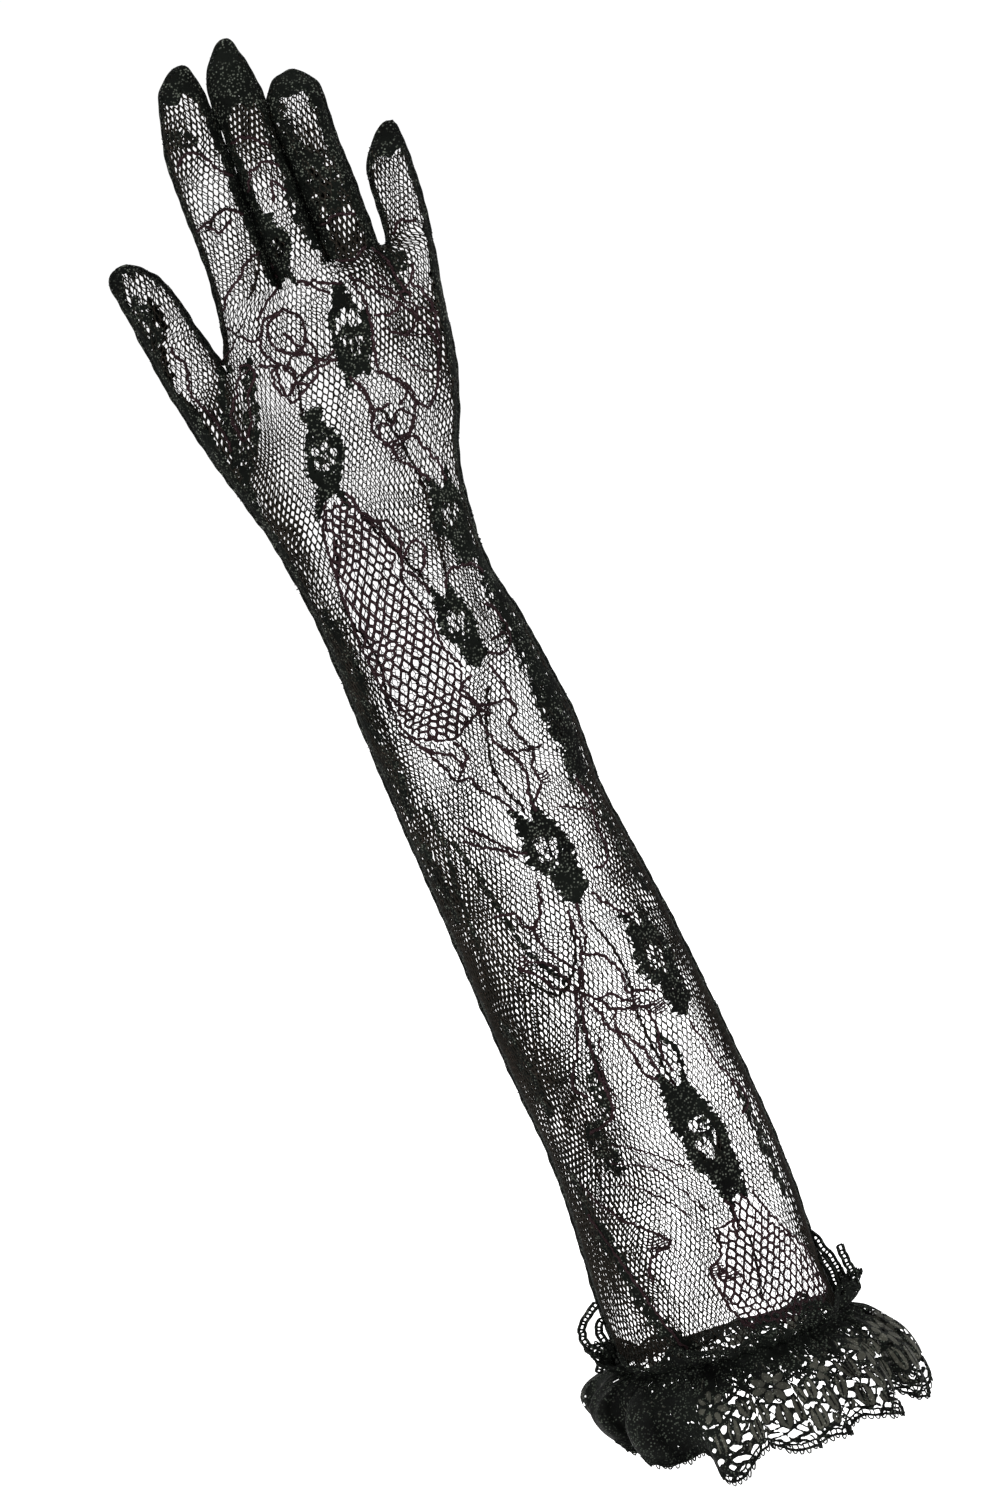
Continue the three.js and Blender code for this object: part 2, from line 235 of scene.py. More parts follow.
def between(grid, column, row):
    """A grid's value between its points, at fractional columns and rows."""
    column = np.clip(column, 0, grid.shape[1] - 1.001)
    row = np.clip(row, 0, grid.shape[0] - 1.001)
    i, j = column.astype(int), row.astype(int)
    a, b = (column - i)[..., None], (row - j)[..., None]
    low = grid[j, i] * (1 - a) + grid[j, i + 1] * a
    high = grid[j + 1, i] * (1 - a) + grid[j + 1, i + 1] * a
    return low * (1 - b) + high * b


class Chart:
    """One panel unrolled: u across the cloth from the middle line, v the height, both in mm."""

    def __init__(self, side):
        self.side = side
        column = BACK if side < 0 else PALM
        self.rows = np.arange(HEM_Z, TOP_Z + ROW_STEP, ROW_STEP)
        self.us = np.arange(-HALF_WIDTH, HALF_WIDTH + ACROSS_STEP, ACROSS_STEP)
        self.xs = np.arange(X_RANGE[0], X_RANGE[1] + X_STEP, X_STEP)
        grid_x, grid_z = np.meshgrid(self.xs, self.rows)
        total = branch_depth(ARM_AND_HAND, grid_x, grid_z, column, ARM_SQUARENESS) ** BLEND_POWER
        for rows in DIGITS:
            total += branch_depth(rows, grid_x, grid_z, column, FINGER_SQUARENESS) ** BLEND_POWER
        depth = total ** (1 / BLEND_POWER)
        gentle = smoothstep(self.rows, *STEEPEST_Z)
        steepest = STEEPEST_ARM ** (1 - gentle) * STEEPEST_HAND ** gentle
        steps = np.minimum(np.hypot(np.diff(depth, axis=1), X_STEP), X_STEP * steepest[:, None])
        along = np.concatenate([np.zeros((len(self.rows), 1)), np.cumsum(steps, axis=1)], axis=1)
        middle = smooth_curve(self.rows, MIDDLE_LINE[:, 0], MIDDLE_LINE[:, 1])
        start = np.array([np.interp(m, self.xs, row) for m, row in zip(middle, along)])
        across = along - start[:, None]
        x = np.array([np.interp(self.us, row, self.xs) for row in across])
        depth = np.array([np.interp(self.us, row, d) for row, d in zip(across, depth)])
        z = np.repeat(self.rows[:, None], len(self.us), axis=1)
        points = np.stack([x, side * depth + forward(x, z), z + raised(x, z)], axis=-1)
        normals = -side * unit(np.cross(np.gradient(points, axis=1), np.gradient(points, axis=0)))
        self.cloth = depth > CLOTH_FROM_DEPTH
        self.across = across[..., None]
        self.grid = np.concatenate([points, normals, self._edge_distance()[..., None]], axis=-1)

    def _edge_distance(self):
        """Distance over the cloth to the sewn outline. The hem is no edge."""
        across, up = np.zeros(self.cloth.shape), np.zeros(self.cloth.shape)
        for grid, distance, step in ((self.cloth, across, ACROSS_STEP), (self.cloth.T, up.T, ROW_STEP)):
            for line, target in zip(grid, distance):
                outside = np.append(np.flatnonzero(~line), len(line) + 1)
                places = np.arange(len(line))
                after = np.searchsorted(outside, places)
                before = np.maximum(after - 1, 0)
                nearest = np.minimum(np.abs(outside[after] - places), np.abs(outside[before] - places))
                target[:] = step * nearest
        return across * up / np.maximum(np.hypot(across, up), TINY)

    def flat_size(self, low, high):
        """Width, length and area of the part of the panel between two heights, laid flat, in metres."""
        rows = self.cloth[(self.rows >= low) & (self.rows <= high)]
        columns = np.flatnonzero(rows.any(axis=0))
        width = (columns[-1] - columns[0]) * ACROSS_STEP * MM
        length = (high - low) * MM
        return width, length, min(rows.sum() * ACROSS_STEP * ROW_STEP * MM * MM, width * length)

    def _read(self, u, v):
        return between(self.grid, (np.asarray(u) - self.us[0]) / ACROSS_STEP,
                       (np.asarray(v) - self.rows[0]) / ROW_STEP)

    def place(self, u, v, lift=0.0):
        values = self._read(u, v)
        return values[..., :3] + values[..., 3:6] * np.asarray(lift)[..., None]

    def normal(self, u, v):
        return self._read(u, v)[..., 3:6]

    def to_edge(self, u, v):
        return self._read(u, v)[..., 6]

    def x_at(self, u, v):
        return self._read(u, v)[..., 0]

    def u_at(self, x, z):
        """Place across the cloth of a point at x and z."""
        column = (np.asarray(x, float) - self.xs[0]) / X_STEP
        row = (np.asarray(z, float) - self.rows[0]) / ROW_STEP
        return between(self.across, column, row)[..., 0]


def as_seen(point):
    """Where the camera sees a point, as millimetres across and up the glove's middle plane."""
    x, y, z = point
    up = y * math.sin(ELEVATION) + (z - TARGET_Z) * math.cos(ELEVATION)
    away = y * math.cos(ELEVATION) - (z - TARGET_Z) * math.sin(ELEVATION)
    nearness = CAMERA_DISTANCE / (CAMERA_DISTANCE + away)
    return TARGET_X + (x - TARGET_X) * nearness, TARGET_UP + up * nearness


def from_view(chart, x, up):
    """Place in a panel's chart of a point that the camera sees x across and up."""
    guess_x, guess_z = x, up
    for _ in range(VIEW_STEPS):
        seen_x, seen_up = as_seen(chart.place(chart.u_at(guess_x, guess_z), guess_z))
        guess_x += x - seen_x
        guess_z += up - seen_up
    return float(chart.u_at(guess_x, guess_z)), float(guess_z)


back = Chart(-1)
palm = Chart(1)


def add_object(name, data):
    made = bpy.data.objects.new(name, data)
    bpy.context.scene.collection.objects.link(made)
    return made


def make_object(name, parts):
    """Object of one mesh from parts, each of points in mm, arrays of faces, places in the chart and a
    material. The places make its UV map."""
    points, places, lists, slots = [], [], [], []
    mesh = bpy.data.meshes.new(name)
    start = 0
    for number, (part_points, part_faces, part_places, material) in enumerate(parts):
        mesh.materials.append(material)
        used, inverse = np.unique(np.concatenate([f.ravel() for f in part_faces]), return_inverse=True)
        ends = np.cumsum([f.size for f in part_faces])
        for f, end in zip(part_faces, ends):
            lists += (start + inverse[end - f.size:end].reshape(f.shape)).tolist()
            slots += [number] * len(f)
        points.append(part_points[used])
        places.append(part_places[used])
        start += len(used)
    mesh.from_pydata((np.concatenate(points) * MM).tolist(), [], lists)
    layer = mesh.uv_layers.new(name="OFBake")
    corners = np.empty(len(mesh.loops), dtype=np.int32)
    mesh.loops.foreach_get("vertex_index", corners)
    uv = np.concatenate(places)[corners] / UV_SPAN + UV_START
    layer.data.foreach_set("uv", uv.astype(np.float32).ravel())
    mesh.polygons.foreach_set("use_smooth", [True] * len(mesh.polygons))
    mesh.polygons.foreach_set("material_index", slots)
    return add_object(name, mesh)


def net_part(chart, pitch, rise, strand, keep, heights, material, seed):
    """Hexagonal net as one part of a mesh: each strand is a ridge with a flat underside. A strand belongs to
    the mesh whose heights hold its lower end."""
    columns = int(2 * HALF_WIDTH / pitch) + 1
    levels = int((TOP_Z - HEM_Z) / rise) + 2
    i, j = np.meshgrid(np.arange(columns), np.arange(levels))
    odd = j % 2
    u = -HALF_WIDTH + (i + 0.5 * odd) * pitch
    v = HEM_Z - 1 + j * rise
    nodes = [np.stack([u, u], axis=-1), np.stack([v, v + rise * NET_POST], axis=-1)]
    for k, (size, length, uneven_length) in enumerate(NET_WANDER):
        wandering = size * drift(u, v, length, seed + 2 * k)[..., None]
        uneven = NET_UNEVEN * pitch * drift(*nodes, uneven_length * pitch, seed + 2 * k + 1)
        nodes[k] = nodes[k] + wandering + uneven
    node_u, node_v = nodes
    good = keep(node_u, node_v)
    own = good & (node_v > heights[0]) & (node_v <= heights[1])
    width = strand(node_u, node_v)
    flip = np.array([1, -1])[None, None, :, None]
    corner_u = node_u[..., None] + width[..., None] * np.array(CORNER_ACROSS)
    corner_v = node_v[..., None] + width[..., None] * np.array(CORNER_UP) * flip
    ridge = chart.place(node_u, node_v, NET_LIFT + RIDGE_HEIGHT * width)
    points = np.concatenate([chart.place(corner_u, corner_v), ridge[..., None, :]], axis=3)
    places = np.stack([np.concatenate([corner_u, node_u[..., None]], axis=3),
                       np.concatenate([corner_v, node_v[..., None]], axis=3)], axis=-1)
    index = np.arange(points.size // 3).reshape(points.shape[:-1])
    low, high = index[:, :, 0], index[:, :, 1]
    left, right, tip, top = range(4)
    quads = []

    def strut(a, b, a_right, a_left, b_right, b_left, both):
        a, b = a[both], b[both]
        quads.append(np.stack([a[:, top], a[:, a_right], b[:, b_right], b[:, top]], axis=1))
        quads.append(np.stack([a[:, a_left], a[:, top], b[:, top], b[:, b_left]], axis=1))
        quads.append(np.stack([a[:, a_right], a[:, a_left], b[:, b_left], b[:, b_right]], axis=1))

    strut(low, high, right, left, right, left, own[..., 0] & good[..., 1])
    for step, sides in ((0, (right, tip, tip, left)), (-1, (tip, left, right, tip))):
        other = i[:-1] + odd[:-1] + step
        valid = (other >= 0) & (other < columns)
        other = np.clip(other, 0, columns - 1)
        above = np.take_along_axis(low[1:], other[..., None], axis=1)
        both = valid & own[:-1, :, 1] & np.take_along_axis(good[1:, :, 0], other, axis=1)
        strut(high[:-1], above, *sides, both)
    lower, upper = low[own[..., 0]], high[own[..., 1]]
    tris = [lower[:, [tip, left, right]], upper[:, [right, left, tip]]]
    faces = [np.concatenate(quads), np.concatenate(tris)]
    if chart.side > 0:
        faces = [f[:, ::-1] for f in faces]
    return points.reshape(-1, 3), faces, places.reshape(-1, 2), material


def filled(field, us, vs):
    """Triangles over the part of a grid where the field is over 0, cut cleanly at its edge."""
    index = np.arange(field.size).reshape(field.shape)
    a, b = index[:-1, :-1].ravel(), index[:-1, 1:].ravel()
    c, d = index[1:, 1:].ravel(), index[1:, :-1].ravel()
    tris = np.concatenate([np.stack([a, b, c], axis=1), np.stack([a, c, d], axis=1)])
    value = field.ravel()
    inside = value[tris] > 0
    count = inside.sum(axis=1)

    def turned(which, first):
        rows = tris[which]
        k = first[which]
        return [rows[np.arange(len(rows)), (k + n) % 3] for n in range(3)]

    def key(p, q):
        return np.minimum(p, q) * field.size + np.maximum(p, q)

    whole = tris[count == 3]
    p, q, r = turned(count == 1, inside.argmax(axis=1))
    n, s, t = turned(count == 2, inside.argmin(axis=1))
    keys = np.concatenate([
        key(whole, whole),
        np.stack([key(p, p), key(p, q), key(p, r)], axis=1),
        np.stack([key(s, s), key(t, t), key(t, n)], axis=1),
        np.stack([key(s, s), key(t, n), key(n, s)], axis=1)])
    names, faces = np.unique(keys, return_inverse=True)
    first, second = names // field.size, names % field.size
    grid_u, grid_v = np.meshgrid(us, vs)
    places = np.stack([grid_u.ravel(), grid_v.ravel()], axis=1)
    drop = value[first] - value[second]
    part = np.where(first == second, 0, value[first] / np.where(drop == 0, 1, drop))
    return places[first] + (places[second] - places[first]) * part[:, None], faces.reshape(-1, 3)


def lobe(u, v, x, z, half_width, half_height, turn=0.0):
    """Pseudo distance inside an ellipse, over 0 within it."""
    a, b = rotated(u - x, v - z, turn)
    return (1 - np.hypot(a / half_width, b / half_height)) * min(half_width, half_height)


# The flowers of the lace: an outline and the holes that pierce it. A hole is an ellipse: place, half width,
# half height and turn in degrees
SPINDLE = [
    (-6.9, 19.5), (-6, 17), (-5.2, 15), (-6.8, 12), (-6.9, 10), (-6.1, 8.6), (-8.1, 5), (-7.3, 3),
    (-8.2, 0.8), (-7, -1.2), (-5.8, -3.5), (-3.2, -6.2), (-3.5, -9), (-2.6, -13), (-2.4, -15.4),
    (-0.6, -16.4), (1.3, -18), (2.8, -17.2), (4, -15.2), (6.3, -15), (7, -12), (6.7, -9.6), (7.6, -8.8),
    (6.4, -6.5), (6.9, -4), (8.1, 0.8), (7.2, 2.6), (7.5, 5), (6.2, 7), (5.2, 10.6), (3.8, 12.5), (3.1, 15),
    (2.5, 21), (1.5, 21), (0.9, 17), (-0.2, 14), (-1.2, 12.8), (-2.6, 14.4), (-3.6, 17), (-5, 19.5)]
LONG_SPINDLE = [
    (-6.9, 24.5), (-7.5, 17), (-8.2, 12), (-8.8, 5.8), (-7.2, 3.4), (-6.9, 0.8), (-7.6, -4.2), (-6.9, -8),
    (-3.8, -11.7), (-3.2, -15), (-2.5, -18), (-1.6, -21), (-0.2, -26), (0.8, -26), (1.2, -22), (3.7, -20),
    (5.6, -23), (7.2, -23), (7.4, -18), (8.1, -14.2), (8.2, -8), (8.5, -0.5), (7.5, 4.5), (5.6, 9.5),
    (4.3, 13), (2.5, 18.3), (1.8, 21.4), (0.6, 21.4), (-0.4, 18.6), (-1.9, 17.6), (-3.6, 19.6), (-5, 24.5)]
ROSE = [
    (-2.8, 15), (-3.5, 13.2), (-2.3, 11), (-4, 7.6), (-6.2, 4), (-5.7, 1), (-7.6, -2), (-6.7, -5),
    (-4.9, -9), (-6.9, -13.5), (-8.2, -18.5), (-6.6, -18.5), (-4.6, -15), (-2.4, -13.4), (0, -12.8),
    (1.2, -14), (2.4, -19), (4, -19), (3.3, -14), (2.1, -11), (3.8, -8), (5.3, -5), (6.2, -3), (7.4, -0.4),
    (6.6, 3), (5.2, 6.7), (3.3, 8.6), (2.5, 11), (3.9, 13.8), (2.9, 15)]
RING_ROSE = [
    (-0.6, 15), (-1.4, 12.9), (-2.8, 9.8), (-5.2, 7.3), (-6.4, 4), (-5.8, 1), (-7.4, -1), (-7.1, -4),
    (-7.6, -7.7), (-6.7, -11.5), (-7.2, -16.5), (-5.6, -16.5), (-4.9, -14.6), (-3.6, -13.8), (-1.6, -14),
    (0.2, -13.6), (1.4, -15.4), (2.2, -14.6), (2.4, -10.2), (4.8, -9), (5.4, -5.2), (6.4, -2.1), (7.9, 1),
    (7.3, 3.5), (5.1, 5.4), (4.2, 7.3), (3.6, 11), (2.9, 15.6)]
SPRAY = [
    (0, 11.5), (1.2, 8), (2.6, 6), (1.8, 3.5), (3, 1), (2.4, -1.5), (3.2, -4), (1.6, -6.5), (1.6, -9),
    (0.2, -11.5), (-1.2, -8.5), (-2.8, -6.5), (-1.8, -3.5), (-3, -1), (-2, 1.5), (-2.8, 4.5), (-1.6, 7.5)]
SLITS = [
    (-2.5, 3.6, 0.8, 2.2, 8), (-0.5, 4.8, 0.7, 1.8, 0), (-1.1, 0.3, 0.8, 1.7, 6), (1.5, 1.6, 0.8, 2.6, -4),
    (3.1, 4.0, 0.6, 1.7, -8), (-3.5, 0.2, 0.5, 1.0, 10), (0.7, -2.9, 0.5, 0.6, 0), (-2.0, 7.4, 0.5, 0.5, 0)]
LONG_SLITS = [
    (-1.9, 4.5, 1.3, 1.9, 0), (-2.5, -3.7, 1.1, 3.6, 4), (0.3, -4.2, 1.05, 3.8, 0), (4.0, -3.0, 1.0, 3.6, -4),
    (0.8, 3.4, 0.6, 0.6, 0), (3.2, 3.6, 0.9, 0.4, 0), (2.0, 1.8, 1.6, 0.35, 0), (1.0, 6.2, 1.4, 0.3, 0)]
ROUND_HOLES = [
    (-2.6, 1.9, 1.1, 1.3, 0), (0.8, 2.5, 1.2, 1.1, 0), (3.1, -0.2, 0.9, 1.3, 0), (-3.5, -2.1, 0.9, 1.3, 10),
    (-0.5, -3.8, 1.2, 1.1, 0), (0.2, -0.6, 0.6, 0.7, 0), (1.9, -3.2, 0.6, 0.8, 0)]
RING_HOLES = [
    (-2.7, 3.5, 0.75, 1.9, -20), (-0.4, 4.8, 0.9, 2.6, -20), (1.8, 3.7, 0.9, 2.6, -22),
    (4.0, 2.9, 0.85, 2.2, -25), (-4.4, 1.6, 0.5, 0.6, 0), (-3.0, -2.6, 0.3, 1.0, 0),
    (-1.0, -3.2, 0.28, 1.2, 0), (1.0, -3.4, 0.28, 1.2, 0), (2.8, -4.0, 0.3, 1.0, 0),
    (-2.0, -5.9, 0.28, 0.8, 0), (0.4, -6.3, 0.28, 0.9, 0)]
SPRAY_HOLES = [(-0.5, 3.0, 0.5, 1.3, 10), (0.6, -0.8, 0.5, 1.1, -8), (-0.4, -4.4, 0.5, 1.0, 0)]
OPEN_HEART = [(0.0, 1.2, 4.8, 7.0, 0), (0.8, -6.6, 2.6, 3.0, 0)]
HOLE_EASE = 0.12
EDGE_STEP_PITCH = 2.5
EDGE_STEP_DEPTH = 0.45
FLOWERS = {
    "spindle": (SPINDLE, SLITS), "long_spindle": (LONG_SPINDLE, LONG_SLITS), "rose": (ROSE, ROUND_HOLES),
    "ring_rose": (RING_ROSE, RING_HOLES), "spray": (SPRAY, SPRAY_HOLES),
    "open_spindle": (SPINDLE, OPEN_HEART), "open_long": (LONG_SPINDLE, OPEN_HEART),
    "open_rose": (ROSE, OPEN_HEART), "open_ring": (RING_ROSE, OPEN_HEART)}

# Motifs of the back panel as the camera sees them: flower, x, up, scale across, scale up, turn in degrees
BACK_MOTIFS = [
    ("long_spindle", 17.8, 68.0, 1.0, 1.0, 0), ("spindle", 9.0, 170.0, 1.0, 1.0, 0),
    ("spindle", 27.0, 124.5, 1.08, 1.06, -2), ("spindle", 11.0, 249.0, 0.80, 0.80, -2),
    ("rose", -6.5, 317.0, 1.0, 1.0, 0), ("ring_rose", 17.0, 350.0, 1.0, 1.0, 0),
    ("rose", 6.0, 384.5, 0.80, 0.72, -4), ("spindle", 22.8, 281.0, 1.0, 0.86, 0),
    ("spray", -13.0, 77.0, 1.35, 1.0, 10), ("spray", -6.6, 96.0, 1.1, 0.7, -10),
    ("spray", -42.8, 372.0, 1.2, 1.6, 3), ("spray", 26.5, 207.0, 1.1, 1.7, 2),
    ("spray", -27.0, 253.0, 2.0, 1.9, 0), ("spray", -28.0, 218.0, 2.0, 1.9, 0),
    ("spray", -27.5, 178.0, 1.3, 1.6, 0), ("spray", -26.0, 112.0, 1.2, 1.9, 4),
    ("spray", -25.5, 62.0, 0.9, 1.7, 6),
    ("spray", 34.5, 60.0, 1.1, 1.9, 3), ("spray", 31.0, 165.0, 1.2, 1.8, 4),
    ("spray", 27.5, 398.0, 2.0, 1.1, 4), ("spray", 23.5, 412.0, 1.2, 1.1, 0),
    ("spray", -8.5, 428.0, 1.0, 0.55, 60), ("spray", 5.0, 411.0, 1.0, 1.4, 4),
    ("spray", -23.0, 338.0, 1.1, 1.9, -20), ("spray", 38.0, 369.0, 1.3, 0.75, 0),
    ("spray", 17.0, 391.0, 1.0, 1.2, 4), ("spray", 40.0, 300.0, 1.0, 1.0, 0)]
# The palm panel is hidden in the photo. Its flowers lie straight behind those of the back as the camera sees
# them, with an open heart, so that light comes through both
PALM_MOTIFS = [
    ("open_long", 17.8, 68.0, 0.94, 0.96, 0), ("open_spindle", 9.0, 170.0, 0.94, 0.95, 0),
    ("open_spindle", 27.0, 124.5, 0.78, 1.0, -2), ("open_spindle", 11.0, 249.0, 0.78, 0.78, -2),
    ("open_rose", -6.5, 317.0, 0.94, 0.95, 0), ("open_ring", 17.0, 350.0, 0.94, 0.95, 0),
    ("open_spindle", 22.8, 281.0, 0.9, 0.8, 0), ("spray", -27.0, 250.0, 1.6, 1.8, 0),
    ("spray", -27.0, 178.0, 1.2, 1.6, 0), ("spray", -25.0, 110.0, 1.2, 1.8, 4),
    ("spray", -25.0, 60.0, 0.9, 1.6, 6), ("spray", 28.0, 207.0, 1.1, 1.6, 2),
    ("spray", -41.0, 372.0, 1.0, 1.4, 0), ("spray", 28.0, 399.0, 1.3, 1.1, 0),
    ("spray", 6.0, 384.0, 1.2, 1.0, 0)]

# Areas of coarse net on the back panel, as outlines that the camera sees
COARSE_AREAS = [
    [(-15, 298), (-18, 285), (-19, 270), (-20, 250), (-19, 237), (-17, 223), (-11, 218), (-5, 216),
     (2, 221), (6, 230), (7, 237), (4, 245), (4, 255), (2, 263), (0, 270), (2, 280), (1, 288), (-3, 296),
     (-7, 303), (-12, 302)],
    [(9, 39), (16, 39.5), (18, 45), (21, 48), (24, 46), (27, 38), (30, 30), (34, 20), (35, 8), (30, 2),
     (8, 3), (4, 14), (3, 27), (8, 30)]]

# Streaks of the back panel: half width, and a line as the camera sees it
BACK_BANDS = [
    (0.9, [(-18, 186), (-15, 172), (-13, 158), (-9, 142), (-3, 131)]),
    (1.0, [(-3, 118), (-4.5, 104), (-5, 92), (-9, 86), (-16, 84)]), (1.0, [(19, 86), (21, 97), (17, 104)]),
    (2.7, [(-23.6, 54), (-22.8, 42), (-21.8, 30), (-19.4, 18), (-13, 7)]),
    (1.7, [(-24.9, 359.4), (-27, 352), (-29.9, 343.7), (-31.6, 336), (-32.4, 329), (-33, 318), (-33, 306)]),
    (5.0, [(26.4, 264), (26.8, 252), (27.6, 240), (28.6, 228), (30.2, 215), (29.5, 200), (28, 192)]),
    (2.0, [(25, 281), (25, 272), (26.5, 264)]), (0.9, [(28, 192), (30, 176), (30, 156)]),
    (0.9, [(-22, 200), (-21, 188), (-23, 172), (-24, 150)]), (1.6, [(37.5, 368), (36.6, 360), (38, 354)]),
    (1.5, [(2, 384), (3, 400), (3, 420), (5, 436)]), (1.6, [(18, 384), (18, 400), (18, 420)]),
    (2.0, [(21, 390), (21.6, 381), (22, 373)]), (1.3, [(30, 400), (27, 408), (24, 414)]),
    (1.2, [(34, 386), (34, 400), (35, 416)])]

